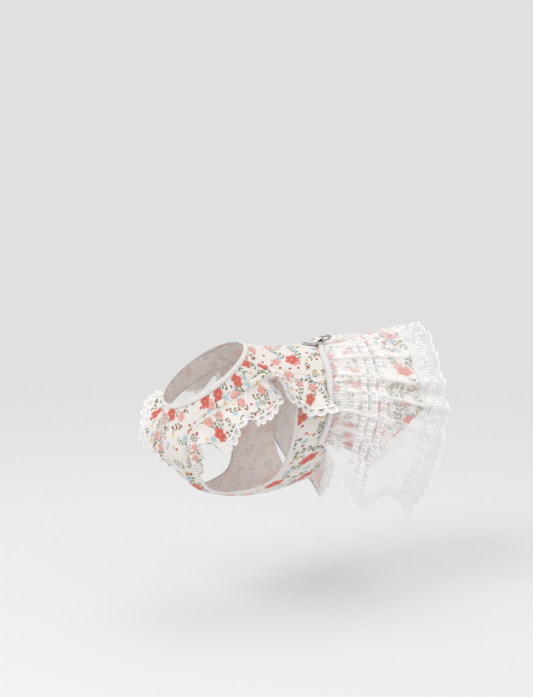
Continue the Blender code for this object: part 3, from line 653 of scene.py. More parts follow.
def border_group() -> bpy.types.NodeTree:
    """Embroidered net border: two cords, a leafy vine with flowers, and a scalloped picot edge."""
    effect = Effect("border", {"Vector": None}, ("Motif", "Inside", "Height"))
    graph = effect.graph
    u, v, _ = graph.split(effect.given("Vector"))
    width, repeat = 20.0, 17.2
    down = v * width
    phase = u / 2.0
    vine_line = (phase * 2 * math.pi).of("SINE") * 2.6 + 9.6
    off = down - vine_line
    vine = off.of("ABSOLUTE").below(0.40, 0.15)
    place = ((phase * 5.0).of("FRACT") - 0.5) * (repeat / 5.0)
    side = off.of("ABSOLUTE") - 1.70
    tilt = 0.75
    leaf_x = (place * math.cos(tilt) + side * math.sin(tilt)) / 1.75
    leaf_y = (side * math.cos(tilt) - place * math.sin(tilt)) / 0.75
    leaf = (leaf_x * leaf_x + leaf_y * leaf_y).below(1.0, 0.15)
    bloom_x = ((phase + 0.25).of("FRACT") - 0.5) * repeat
    bloom_y = down - 5.4
    radius = (bloom_x * bloom_x + bloom_y * bloom_y).of("SQRT")
    heading = graph.math("ARCTAN2", bloom_y, bloom_x)
    petals = radius.below((heading * 2.5).of("COSINE").of("ABSOLUTE") * 1.1 + 1.5, 0.15)
    eye = radius.below(0.55, 0.15)
    cords = (down - 0.8).of("ABSOLUTE").below(0.50, 0.12).either((down - 2.6).of("ABSOLUTE").below(0.50, 0.12))
    bow = ((u.of("FRACT") - 0.5).of("ABSOLUTE") * 2.0).power(2.2) * 1.9
    picot = (u * math.pi * 6.0).of("SINE").of("ABSOLUTE") * 0.55
    edge = width - 0.55 - bow + picot
    inside = down.below(edge, 0.12)
    hem = (edge - down).below(1.55, 0.2)
    pin = ((u * 6.0).of("FRACT") - 0.5) / 0.28
    pin_down = (edge - down - 2.7) / 0.42
    pins = (pin * pin + pin_down * pin_down).below(1.0, 0.2)
    second = (edge - down - 2.7).of("ABSOLUTE").below(0.75, 0.15) * (1.0 - pins)
    bloom = petals * (1.0 - eye)
    motif = vine.either(leaf * down.below(edge - 4.0, 0.3)).either(bloom).either(cords).either(hem).either(second)
    height = motif + graph.noise(effect.given("Vector"), 20.0, 3.0) * 0.4
    return effect.give(Motif=motif, Inside=inside, Height=height)


class Finish:
    """A cloth or metal finish that makes its material once."""

    made: dict[Finish, bpy.types.Material] = {}

    def material(self) -> bpy.types.Material:
        """The finish's material."""
        if self not in Finish.made:
            made = bpy.data.materials.new(type(self).__name__)
            made.use_nodes = True
            shader = made.node_tree.nodes["Principled BSDF"]
            self.dress(Graph(made.node_tree), shader)
            Finish.made[self] = made
        return Finish.made[self]

    def dress(self, graph: Graph, shader: bpy.types.Node) -> None:
        """Fills the material's nodes."""
        raise NotImplementedError

    @staticmethod
    def effect(graph: Graph, tree: bpy.types.NodeTree, **feeds: object) -> bpy.types.Node:
        """Places a shared group and feeds its inputs by name."""
        return graph.node("ShaderNodeGroup", feeds, node_tree=tree)

    @staticmethod
    def uv(graph: Graph) -> Signal:
        """The cloth's own coordinates."""
        return graph.take(graph.node("ShaderNodeUVMap", uv_map="cloth"))

    @staticmethod
    def attribute(graph: Graph, name: str) -> Signal:
        """A value stored on the cloth's points."""
        return graph.take(graph.node("ShaderNodeAttribute", attribute_name=name), "Fac")


Colour = tuple[float, float, float, float]


@dataclass(frozen=True)
class PrintCotton(Finish):
    """Off-white cotton with small scattered flowers, buds and leafy sprigs."""

    ground: Colour = (0.84, 0.795, 0.755, 1.0)
    coral: Colour = (0.66, 0.072, 0.058, 1.0)
    coral_edge: Colour = (0.80, 0.22, 0.17, 1.0)
    coral_dark: Colour = (0.42, 0.022, 0.022, 1.0)
    rose: Colour = (0.82, 0.45, 0.40, 1.0)
    rose_shade: Colour = (0.70, 0.21, 0.19, 1.0)
    blue: Colour = (0.34, 0.52, 0.66, 1.0)
    blue_edge: Colour = (0.52, 0.68, 0.78, 1.0)
    yellow: Colour = (0.78, 0.50, 0.14, 1.0)
    red: Colour = (0.52, 0.032, 0.035, 1.0)
    olive: Colour = (0.095, 0.125, 0.045, 1.0)
    olive_light: Colour = (0.24, 0.28, 0.12, 1.0)
    stem: Colour = (0.33, 0.36, 0.25, 1.0)
    shade: Colour = (0.55, 0.50, 0.47, 1.0)
    roughness: float = 0.86
    show_through: float = 1.0

    def dress(self, graph: Graph, shader: bpy.types.Node) -> None:
        """Layers the motifs on the ground, small ones first."""
        uv = self.uv(graph)
        flowers = shared("flowers", flower_group)
        sprigs = shared("sprigs", sprig_group)
        colour = self.ground
        for seed, length, share in ((3.1, 0.0130, 0.54), (11.6, 0.0090, 0.36)):
            sprig = self.effect(graph, sprigs, Vector=uv, Spacing=length * 1.15, Length=length,
                                Share=share, Seed=seed)
            leaf = graph.blend(graph.take(sprig, "Pick"), self.olive, self.olive_light)
            colour = graph.blend(graph.take(sprig, "Stem") * 0.50, colour, self.stem)
            colour = graph.blend(graph.take(sprig, "Leaf") * 0.92, colour, leaf)
        for seed, radius, spacing, share, tone, edge, petals in (
                (5.2, 0.0013, 0.0085, 0.42, self.red, self.red, 0.0),
                (8.8, 0.0016, 0.0125, 0.50, self.yellow, self.yellow, 3.0),
                (14.3, 0.0031, 0.0180, 0.55, self.blue, self.blue_edge, 5.0)):
            bloom = self.effect(graph, flowers, Vector=uv, Spacing=spacing, Radius=radius, Petals=petals,
                                Share=share, Seed=seed)
            tone = graph.blend(graph.take(bloom, "Rim"), tone, edge)
            eye = graph.take(bloom, "Rim").below(0.26, 0.05) * (1.0 if petals > 3 else 0.0)
            tone = graph.blend(eye, tone, self.yellow)
            colour = graph.blend(graph.take(bloom, "Mask") * 0.95, colour, tone)
        rose = self.effect(graph, flowers, Vector=uv, Spacing=0.0220, Radius=0.0048, Petals=5.0, Share=0.46,
                           Seed=21.7)
        swirl = graph.take(rose, "Swirl").below(-0.1, 0.5)
        tone = graph.blend(swirl * 0.6, self.rose, self.rose_shade)
        colour = graph.blend(graph.take(rose, "Mask") * 0.95, colour, tone)
        bloom = self.effect(graph, flowers, Vector=uv, Spacing=0.0245, Radius=0.0065, Petals=5.0, Share=0.58,
                            Seed=30.4)
        rim = graph.take(bloom, "Rim")
        streak = graph.noise(uv, 900.0, 3.0)
        tone = graph.blend(rim * rim * (streak + 0.3), self.coral, self.coral_edge)
        tone = graph.blend(graph.take(bloom, "Lobe").below(0.30, 0.25) * 0.8, tone, self.coral_dark)
        tone = graph.blend(rim.below(0.17, 0.05) * 0.8, tone, self.yellow)
        colour = graph.blend(graph.take(bloom, "Mask") * 0.96, colour, tone)
        if self.show_through < 1.0:
            colour = graph.blend(self.show_through, self.ground, colour)
        weave = self.effect(graph, shared("weave", weave_group), Vector=uv, Pitch=0.00038)
        colour = graph.blend(graph.take(weave, "Shade") * 0.10, colour, self.shade)
        graph.feed(shader.inputs["Base Color"], colour)
        graph.feed(shader.inputs["Normal"], graph.bump(graph.take(weave, "Height"), 0.35, 0.0002))
        shader.inputs["Roughness"].default_value = self.roughness
        shader.inputs["Sheen Weight"].default_value = 0.15


@dataclass(frozen=True)
class Tape(Finish):
    """Plain white woven tape."""

    colour: Colour = (0.86, 0.84, 0.82, 1.0)
    shade: Colour = (0.70, 0.67, 0.65, 1.0)
    pitch: float = 0.00045
    roughness: float = 0.8

    def dress(self, graph: Graph, shader: bpy.types.Node) -> None:
        """Adds the weave and its unevenness."""
        weave = self.effect(graph, shared("weave", weave_group), Vector=self.uv(graph), Pitch=self.pitch)
        colour = graph.blend(graph.take(weave, "Shade") * 0.30, self.colour, self.shade)
        graph.feed(shader.inputs["Base Color"], colour)
        graph.feed(shader.inputs["Normal"], graph.bump(graph.take(weave, "Height"), 0.5, 0.0003))
        shader.inputs["Roughness"].default_value = self.roughness
        shader.inputs["Sheen Weight"].default_value = 0.2


class LacePattern(Enum):
    """Which openwork a lace has."""

    SCALLOP = "scallop"
    INSERTION = "insertion"


@dataclass(frozen=True)
class Lace(Finish):
    """White cotton lace with its openings cut out, and painted shade in its low places and eyelets."""

    pattern: LacePattern = LacePattern.SCALLOP
    colour: Colour = (0.94, 0.925, 0.915, 1.0)
    # Painted shade: the colour of the lace's low places, between its cords.
    shade: Colour = (0.66, 0.63, 0.61, 1.0)
    # Painted shadow: the dark colour inside the insertion lace's eyelets.
    eyelet: Colour = (0.33, 0.29, 0.27, 1.0)
    moon: float = 1.0

    def dress(self, graph: Graph, shader: bpy.types.Node) -> None:
        """Cuts the pattern out, raises its cords, and paints shade into the lace's low places and a dark shadow into
        its eyelets.
        """
        uv = self.uv(graph)
        if self.pattern is LacePattern.SCALLOP:
            tree = shared("scallop_lace", scallop_lace_group)
            lace = self.effect(graph, tree, Vector=uv, Moon=self.moon)
        else:
            lace = self.effect(graph, shared("insertion_lace", insertion_lace_group), Vector=uv)
        height = graph.take(lace, "Height")
        # Painted shade: darker where the lace's height is low.
        tone = graph.blend(height.below(0.25, 0.35) * 0.45, self.colour, self.shade)
        if self.pattern is LacePattern.INSERTION:
            # Painted shadow inside the insertion lace's eyelets.
            tone = graph.blend(height.below(-0.05, 0.15), tone, self.eyelet)
        graph.feed(shader.inputs["Base Color"], tone)
        graph.feed(shader.inputs["Alpha"], graph.take(lace, "Alpha"))
        graph.feed(shader.inputs["Normal"], graph.bump(height, 0.7, 0.0004))
        shader.inputs["Roughness"].default_value = 0.8
        shader.inputs["Sheen Weight"].default_value = 0.2


@dataclass(frozen=True)
class Tulle(Finish):
    """Sheer white net, thicker to the eye where it is pleated or turned under."""

    colour: Colour = (0.94, 0.93, 0.92, 1.0)
    haze: float = 0.17
    thread: float = 0.36

    def dress(self, graph: Graph, shader: bpy.types.Node) -> None:
        """Sets the net's cover from its threads and the cloth's own density."""
        net = self.effect(graph, shared("net", net_group), Vector=self.uv(graph))
        cover = graph.take(net, "Thread") * self.thread + self.haze
        density = self.attribute(graph, "thickness")
        graph.feed(shader.inputs["Alpha"], graph.math("ADD", cover, density, clamp=True))
        shader.inputs["Base Color"].default_value = self.colour
        shader.inputs["Roughness"].default_value = 0.6
        shader.inputs["Sheen Weight"].default_value = 0.1


@dataclass(frozen=True)
class Border(Finish):
    """White embroidery on net."""

    colour: Colour = (0.95, 0.935, 0.925, 1.0)
    ground: Colour = (0.80, 0.78, 0.77, 1.0)
    haze: float = 0.30

    def dress(self, graph: Graph, shader: bpy.types.Node) -> None:
        """Lays the motifs over the net."""
        uv = self.uv(graph)
        border = self.effect(graph, shared("border", border_group), Vector=uv)
        metric = graph.take(graph.node("ShaderNodeUVMap", uv_map="metric"))
        net = self.effect(graph, shared("net", net_group), Vector=metric)
        motif = graph.take(border, "Motif")
        cover = (graph.take(net, "Thread") * 0.35 + self.haze).either(motif * 0.97)
        graph.feed(shader.inputs["Alpha"], cover * graph.take(border, "Inside"))
        graph.feed(shader.inputs["Base Color"], graph.blend(motif, self.ground, self.colour))
        graph.feed(shader.inputs["Normal"], graph.bump(graph.take(border, "Height"), 0.6, 0.0005))
        shader.inputs["Roughness"].default_value = 0.7
        shader.inputs["Sheen Weight"].default_value = 0.15


@dataclass(frozen=True)
class Plated(Finish):
    """Dark bright plating with fine wear."""

    colour: Colour = (0.32, 0.31, 0.305, 1.0)
    worn: Colour = (0.86, 0.84, 0.82, 1.0)

    def dress(self, graph: Graph, shader: bpy.types.Node) -> None:
        """Mottles the plating."""
        place = graph.take(graph.node("ShaderNodeTexCoord"), "Object")
        mottle = graph.noise(place, 900.0, 4.0)
        graph.feed(shader.inputs["Base Color"], graph.blend(mottle * mottle, self.colour, self.worn))
        graph.feed(shader.inputs["Roughness"], mottle * 0.16 + 0.08)
        graph.feed(shader.inputs["Normal"], graph.bump(mottle, 0.15, 0.0002))
        shader.inputs["Metallic"].default_value = 1.0


@dataclass(frozen=True)
class Thread(Finish):
    """White sewing thread."""

    colour: Colour = (0.84, 0.82, 0.80, 1.0)

    def dress(self, graph: Graph, shader: bpy.types.Node) -> None:
        """Twists the thread."""
        place = graph.take(graph.node("ShaderNodeTexCoord"), "Object")
        twist = graph.noise(place, 1500.0, 2.0)
        shade = (self.colour[0] * 0.8, self.colour[1] * 0.8, self.colour[2] * 0.8, 1.0)
        graph.feed(shader.inputs["Base Color"], graph.blend(twist, shade, self.colour))
        graph.feed(shader.inputs["Normal"], graph.bump(twist, 0.4, 0.0001))
        shader.inputs["Roughness"].default_value = 0.7


PRINT = PrintCotton()
WRONG_SIDE = PrintCotton(ground=(0.84, 0.77, 0.74, 1.0), show_through=0.22)
# Painted light: the skirt's copy of the print has a paler ground and paler weave unevenness than the bodice's, so it
# looks more brightly lit under the tulle.
PAINTED_LIGHT_SKIRT_PRINT = PrintCotton(ground=(0.865, 0.835, 0.815, 1.0), shade=(0.70, 0.66, 0.64, 1.0))
TAPE = Tape(colour=(0.86, 0.83, 0.81, 1.0), shade=(0.66, 0.60, 0.57, 1.0))


@dataclass
class Cloth:
    """One cloth piece as a grid of points, rows by columns, with its own coordinates."""

    name: str
    grid: Array
    uv: Array
    finish: Finish
    wall: float = 0.0
    wrong_side: Finish | None = None
    density: Array | None = None
    metric: Array | None = None
    side: Side = Side.LEFT
    sheer: bool = False

    def build(self) -> bpy.types.Object:
        """Makes the mesh object.

        Returns:
            The piece, not yet riding on a body.
        """
        rows, columns = self.grid.shape[:2]
        points = self.grid.reshape(-1, 3) * np.array([self.side.value, 1.0, 1.0])
        row, col = np.meshgrid(np.arange(rows - 1), np.arange(columns - 1), indexing="ij")
        first = (row * columns + col).ravel()
        corners = np.stack([first, first + 1, first + columns + 1, first + columns], -1)
        if self.side is Side.RIGHT:
            corners = corners[:, ::-1]
        mesh = bpy.data.meshes.new(self.name)
        mesh.from_pydata(points.tolist(), [], corners.tolist())
        self.add_layer(mesh, "cloth", self.uv, corners)
        if self.metric is not None:
            self.add_layer(mesh, "metric", self.metric, corners)
        if self.density is not None:
            layer = mesh.attributes.new("thickness", "FLOAT", "POINT")
            layer.data.foreach_set("value", self.density.ravel().astype(np.float32))
        mesh.shade_smooth()
        mesh.materials.append(self.finish.material())
        piece = bpy.data.objects.new(self.name, mesh)
        bpy.context.collection.objects.link(piece)
        piece.visible_shadow = not self.sheer
        if self.wall:
            solid = piece.modifiers.new("wall", "SOLIDIFY")
            solid.thickness = self.wall
            solid.offset = -1.0
            if self.wrong_side:
                mesh.materials.append(self.wrong_side.material())
                solid.material_offset = 1
        LOG.info("%s: %d faces", self.name, len(corners))
        return piece

    @staticmethod
    def add_layer(mesh: bpy.types.Mesh, name: str, values: Array, corners: Array) -> None:
        """Stores coordinates of the grid's points as a UV layer."""
        layer = mesh.uv_layers.new(name=name)
        layer.data.foreach_set("uv", values.reshape(-1, 2)[corners.ravel()].ravel().astype(np.float32))

    def declare(self, hold: Hold, extra: tuple = (),
                fullness: float = 1.0) -> None:
        """Args:
            hold: How it is held; not used.
            extra: Pieces that go with it; not used.
            fullness: The flat width over the width it is gathered to.
        """
        width = float(run_lengths(self.grid, 1)[:, -1].max()) * fullness
        length = float(run_lengths(self.grid, 0)[-1].max())
        across = self.grid[:-1, 1:] - self.grid[:-1, :-1]
        along = self.grid[1:, :-1] - self.grid[:-1, :-1]
        area = float(np.linalg.norm(np.cross(across, along), axis=-1).sum()) * fullness
        area = min(max(area, 0.31 * width * length), width * length)
        LOG.info("%s: flat %.0f x %.0f mm, %.0f cm2", self.name, width * 1e3, length * 1e3, area * 1e4)


def settle(piece: bpy.types.Object, nodes: tuple[str, ...], body: str = "dress") -> bpy.types.Object:
    """Puts a piece on its body in place of its CAD nodes.

    Args:
        piece: The piece.
        nodes: The CAD nodes it stands for.
        body: The body it rides on.

    Returns:
        The piece.
    """
    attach(piece, body)
    if nodes:
        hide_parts(*nodes)
    return piece


def sewn_line(name: str, path: Array, normal: Array, stitch: float = 0.0018, gap: float = 0.0008,
              thickness: float = 0.00022) -> bpy.types.Object:
    """Lays a row of stitches along a path.

    Args:
        name: The piece's name.
        path: Points on the cloth's face.
        normal: The face's outward vectors at those points.
        stitch: Length of a stitch.
        gap: Space between stitches.
        thickness: Half the thread's thickness.

    Returns:
        One mesh object with every stitch.
    """
    run = run_lengths(path, 0)
    count = int(run[-1] // (stitch + gap))
    starts = np.arange(count) * (run[-1] / count)
    points, faces = [], []

    def at(values: Array, where: float) -> Array:
        """Reads the path's values at a run length."""
        return np.array([np.interp(where, run, values[:, axis]) for axis in range(3)])

    for start in starts:
        head, tail = at(path, start), at(path, start + stitch)
        lift = unit(at(normal, start + stitch / 2))
        along = unit(tail - head)
        across = np.cross(along, lift)
        middle = (head + tail) / 2
        ring = [middle + lift * thickness * 1.6, middle + across * thickness, middle - lift * thickness,
                middle - across * thickness]
        first = len(points)
        points += [head, tail, *ring]
        for turn in range(4):
            here, beyond = first + 2 + turn, first + 2 + (turn + 1) % 4
            faces += [(first, beyond, here), (first + 1, here, beyond)]
    mesh = bpy.data.meshes.new(name)
    mesh.from_pydata([tuple(point) for point in points], [], faces)
    mesh.shade_smooth()
    mesh.materials.append(Thread().material())
    piece = bpy.data.objects.new(name, mesh)
    bpy.context.collection.objects.link(piece)
    return piece


@dataclass
class Bodice:
    """The print panels and their white bindings."""

    cloth_rise: float = 0.0009
    cloth_wall: float = 0.0005
    tape_rise: float = 0.0012
    tape_wall: float = 0.0010
    neck_width: float = 0.0032
    armhole_width: float = 0.0014
    rear_allowance: float = 0.0050
    rows: int = 60
    columns: int = 240

    def build(self) -> None:
        """Makes every piece of the bodice."""
        neck = self.neck_binding()
        armholes = {side: self.armhole_binding(side) for side in Side}
        self.back_panel((neck,))
        self.under_panel("chest_panel", "front", tuple(armholes.values()))
        self.under_panel("belly_band", "rear", ())

    def wrinkled(self, share: Array, angle: Array, seed: int) -> tuple[Array, Array]:
        """Points of a panel with slight wrinkles, and its coordinates in metres."""
        flat = FORM.point(share, angle, self.cloth_rise)
        uv = FORM.cloth_uv(share, angle)
        relief = ripple(uv[..., 0], uv[..., 1], 0.020, seed) * 0.00035
        relief = relief + ripple(uv[..., 0] * 0.4, uv[..., 1], 0.006, seed + 1) * 0.00012
        return flat + FORM.outward(share, angle) * relief[..., None], uv

    def back_panel(self, extra: tuple) -> None:
        """The panel over the back, from the neck to the waist."""
        at, slant = np.meshgrid(np.linspace(0.0, 1.0, self.rows), np.linspace(-1.0, 1.0, 110), indexing="ij")
        half = through(SIDE_SEAM, "share", "angle", at)
        rear = through(WAIST, "angle", "seam", np.abs(slant) * half)
        rear = rear + FORM.share_step(rear, slant * half, self.rear_allowance)
        share = at * rear
        angle = slant * through(SIDE_SEAM, "share", "angle", share)
        grid, uv = self.wrinkled(share, angle, 1)
        cloth = Cloth("back_panel_cloth", grid, uv + 0.31, PRINT, self.cloth_wall, WRONG_SIDE)
        piece = settle(cloth.build(), ("back_panel",))
        cloth.declare(Hold.STRETCHED, extra)

    def under_panel(self, name: str, part: str, extra: tuple) -> None:
        """The chest panel in front of the armholes, or the belly band behind them."""
        left = np.linspace(ARMHOLE[0].angle, 180.0, self.columns // 2)
        table_angle = np.concatenate([left, left[-2::-1]])
        mirror = np.concatenate([np.ones(len(left)), -np.ones(len(left) - 1)])
        along = np.linspace(0.0, 1.0, self.rows)[:, None]
        if part == "front":
            share = armhole_edge(table_angle, "front") * along
        else:
            front, rear = armhole_edge(table_angle, "rear"), through(WAIST, "angle", "band_rear", table_angle)
            share = front + (rear - front) * along
        angle = under_angle(np.broadcast_to(table_angle, share.shape), share) * mirror
        angle = np.where(mirror < 0, angle + 360.0, angle)
        grid, uv = self.wrinkled(share, angle, 5 if part == "front" else 9)
        cloth = Cloth(f"{name}_cloth", grid, uv + 0.13, PRINT, self.cloth_wall, WRONG_SIDE)
        piece = settle(cloth.build(), (name,))
        cloth.declare(Hold.STRETCHED, extra)

    def rolled(self, name: str, edge: tuple, inner: tuple, side: Side = Side.LEFT) -> Cloth:
        """A folded tape from a panel's edge outward, with a rounded back."""
        across = np.linspace(0.0, 1.0, 9)[:, None]
        share = edge[0] + (inner[0] - edge[0]) * across
        angle = edge[1] + (inner[1] - edge[1]) * across
        swell = np.sqrt(np.clip(1.0 - (2 * across - 1.0) ** 2, 0.0, None)) * 0.0008
        grid = FORM.point(share, angle, self.tape_rise) + FORM.outward(share, angle) * swell[..., None]
        uv = np.stack([run_lengths(grid, 1), run_lengths(grid, 0)], -1)
        relief = ripple(uv[..., 0], uv[..., 1], 0.004, 17) * 0.00010
        grid = grid + FORM.outward(share, angle) * relief[..., None]
        return Cloth(name, grid, uv, TAPE, self.tape_wall, side=side)

    def neck_binding(self) -> bpy.types.Object:
        """The white tape round the neck edge."""
        angle = np.linspace(-180.0, 180.0, 260)
        overlap = FORM.share_step(0.0, angle, 0.0012)
        far = FORM.share_step(0.0, angle, self.neck_width)
        tape = self.rolled("neck_binding_tape", (-far, angle), (overlap, angle))
        return settle(tape.build(), ("neck_binding",))

    def armhole_binding(self, side: Side) -> bpy.types.Object:
        """The narrow white tape round one armhole."""
        angles = np.linspace(ARMHOLE[0].angle, ARMHOLE[-1].angle, 150)
        top = np.linspace(ARMHOLE[0].rear, ARMHOLE[0].front, 24)[1:]
        shares = np.concatenate([armhole_edge(angles, "front"), armhole_edge(angles[::-1], "rear"), top])
        table = np.concatenate([angles, angles[::-1], np.full(len(top), ARMHOLE[0].angle)])
        angle = under_angle(table, shares)
        heart_angle = np.clip(angle, *ARMHOLE_HEART)
        heart = ((armhole_edge(heart_angle, "front") + armhole_edge(heart_angle, "rear")) / 2, heart_angle)
        outer = FORM.moved((shares, angle), heart, -0.0004)
        inner = FORM.moved((shares, angle), heart, self.armhole_width)
        tape = self.rolled(f"armhole_binding_{side.word}_tape", outer, inner, side)
        tape.grid, tape.uv = tape.grid[::-1], tape.uv[::-1]
        return settle(tape.build(), (f"armhole_binding_{side.word}",))


@dataclass
class Ruffle:
    """One armhole's frill and its lace."""

    side: Side
    width: float = 0.029
    lace_width: float = 0.007
    inset: float = 0.0015
    band_width: float = 0.0052
    seam_rise: float = 0.0015
    pitch: float = 0.0081
    start_angle: float = 155.0
    end_share: float = 0.760
    columns: int = 520

    def seam(self, place: Array) -> tuple[Array, Array]:
        """Share and angle of the seam: up the armhole's front edge, then along the side seam."""
        chest_angles = np.linspace(self.start_angle, ARMHOLE[0].angle, 60)
        chest_shares = armhole_edge(chest_angles, "front")
        side_shares = np.linspace(ARMHOLE[0].front, self.end_share, 30)[1:]
        shares = np.concatenate([chest_shares, side_shares])
        angles = np.concatenate([under_angle(chest_angles, chest_shares),
                                 through(SIDE_SEAM, "share", "angle", side_shares)])
        run = run_lengths(FORM.point(shares, angles), 0)
        run = run / run[-1]
        smooth = np.linspace(0.0, 1.0, 25)
        where = np.clip(place, 0.0, 1.0)
        return (np.interp(where, smooth, np.interp(smooth, run, shares)),
                np.interp(where, smooth, np.interp(smooth, run, angles)))

    def full_width(self, place: Array) -> Array:
        """Width of the frill and its lace."""
        return (self.width + self.lace_width) * through(RUFFLE, "place", "width", place)

    def plain(self, place: Array, across: Array) -> Array:
        """A point of the frill's wrong side, without gathers."""
        share, angle = self.seam(place)
        before, after = self.seam(place - 0.02), self.seam(place + 0.02)
        outward = FORM.outward(share, angle)
        along = unit(FORM.point(*after) - FORM.point(*before))
        open_way = unit(np.cross(along, outward))
        root = FORM.point(share, angle, self.seam_rise) - open_way * self.inset
        lift = np.radians(through(RUFFLE, "place", f"lift_{self.side.word}", place))[..., None]
        lean = np.radians(through(RUFFLE, "place", f"lean_{self.side.word}", place))[..., None]
        length = self.full_width(place)[..., None]
        flat = np.cos(lean) * (np.cos(lift) * open_way + np.sin(lift) * outward) + np.sin(lean) * along
        early = np.cos(lift / 2) * open_way + np.sin(lift / 2) * outward
        t = across[..., None]
        return root * (1 - t) ** 2 + 2 * (root + early * length * 0.4) * t * (1 - t) + (root + flat * length) * t**2

    def point(self, place: Array | float, across: Array | float, rise: float = 0.0) -> Array:
        """Finds points of the frill with its gathers.

        Args:
            place: Places along the seam, 0 to 1.
            across: From the seam (0) to the lace's edge (1).
            rise: Metres above the wrong side.

        Returns:
            The points.
        """
        place, across = np.broadcast_arrays(np.asarray(place, float), np.asarray(across, float))
        step = 0.02
        turn = (self.plain(np.minimum(place + step, 1.0), across)
                - self.plain(np.maximum(place - step, 0.0), across))
        run = self.plain(place, across + step) - self.plain(place, across - step)
        outward = unit(np.cross(run, turn))
        down = across * self.full_width(place)
        pleats = np.sin(2 * math.pi * (place * 52 + 0.9 * np.sin(place * 31.0)))
        gathers = pleats * 0.00075 * np.exp(-((down - 0.0035) / 0.0055) ** 2)
        waves = np.sin(2 * math.pi * (place * 15 + 0.5 * np.sin(place * 17.0))) * 0.0007 * across
        return self.plain(place, across) + outward * (rise + gathers + waves)[..., None]

    def build(self) -> None:
        """Makes the frill, its lace and the folded band over its seam."""
        lace_start = self.width / (self.width + self.lace_width)
        place = np.linspace(0.0, 1.0, self.columns)
        across = np.linspace(1.0, 0.0, 44)[:, None] * lace_start
        grid = self.point(place, across, 0.0007)
        middle = run_lengths(self.point(place, 0.55), 0)
        down = across * self.full_width(place)
        uv = np.stack([np.broadcast_to(middle * 1.25, down.shape), -down], -1)
        cloth = Cloth(f"ruffle_{self.side.word}_cloth", grid, uv + 0.52, PRINT, 0.00045, WRONG_SIDE,
                      side=self.side)
        frill = settle(cloth.build(), (f"ruffle_{self.side.word}",))
        lace = self.lace(place, lace_start)
        cloth.declare(Hold.GATHERED, (lace, self.band()), 1.3)

    def band(self) -> bpy.types.Object:
        """The folded print edge over the frill's seam, from the shoulder to the waist."""
        place = np.linspace(0.40, 0.995, 300)
        share, angle = self.seam(place)
        before, after = self.seam(place - 0.02), self.seam(place + 0.02)
        outward = FORM.outward(share, angle)
        open_way = unit(np.cross(unit(FORM.point(*after) - FORM.point(*before)), outward))
        part = np.linspace(-1.0, 0.0, 12)[:, None]
        swell = np.sqrt(np.clip(1.0 - (2 * part + 1.0) ** 2, 0.0, None)) * 0.0006
        pucker = np.sin(place * 260.0) * 0.00012 * (part + 1.0)
        rise = 0.0021 + (part + 1.0) * 0.0010 + swell + pucker
        grid = (FORM.point(share, angle)[None] + open_way[None] * (part * self.band_width)[..., None]
                + outward[None] * rise[..., None])
        uv = np.stack([np.broadcast_to(run_lengths(grid[0], 0), part.shape[:1] + place.shape),
                       np.broadcast_to(-part * self.band_width, part.shape[:1] + place.shape)], -1)
        cloth = Cloth(f"ruffle_band_{self.side.word}", grid[::-1], uv[::-1] + 0.64, PRINT, 0.0005,
                      WRONG_SIDE, side=self.side)
        return settle(cloth.build(), ())

    def lace(self, place: Array, lace_start: float) -> bpy.types.Object:
        """The scalloped lace on the frill's edge."""
        start = lace_start - 0.0012 / self.full_width(place)
        across = start + (1.0 - start) * np.linspace(1.0, 0.0, 12)[:, None]
        grid = self.point(place, across, 0.0010)
        run = run_lengths(self.point(place, lace_start), 0)
        count = round(run[-1] / self.pitch)
        scallops = np.broadcast_to(run / run[-1] * count, across.shape)
        uv = np.stack([scallops, np.broadcast_to(np.linspace(1.0, 0.0, 12)[:, None], across.shape)], -1)
        cloth = Cloth(f"ruffle_lace_{self.side.word}_trim", grid, uv, Lace(), side=self.side)
        return settle(cloth.build(), (f"ruffle_lace_{self.side.word}",))


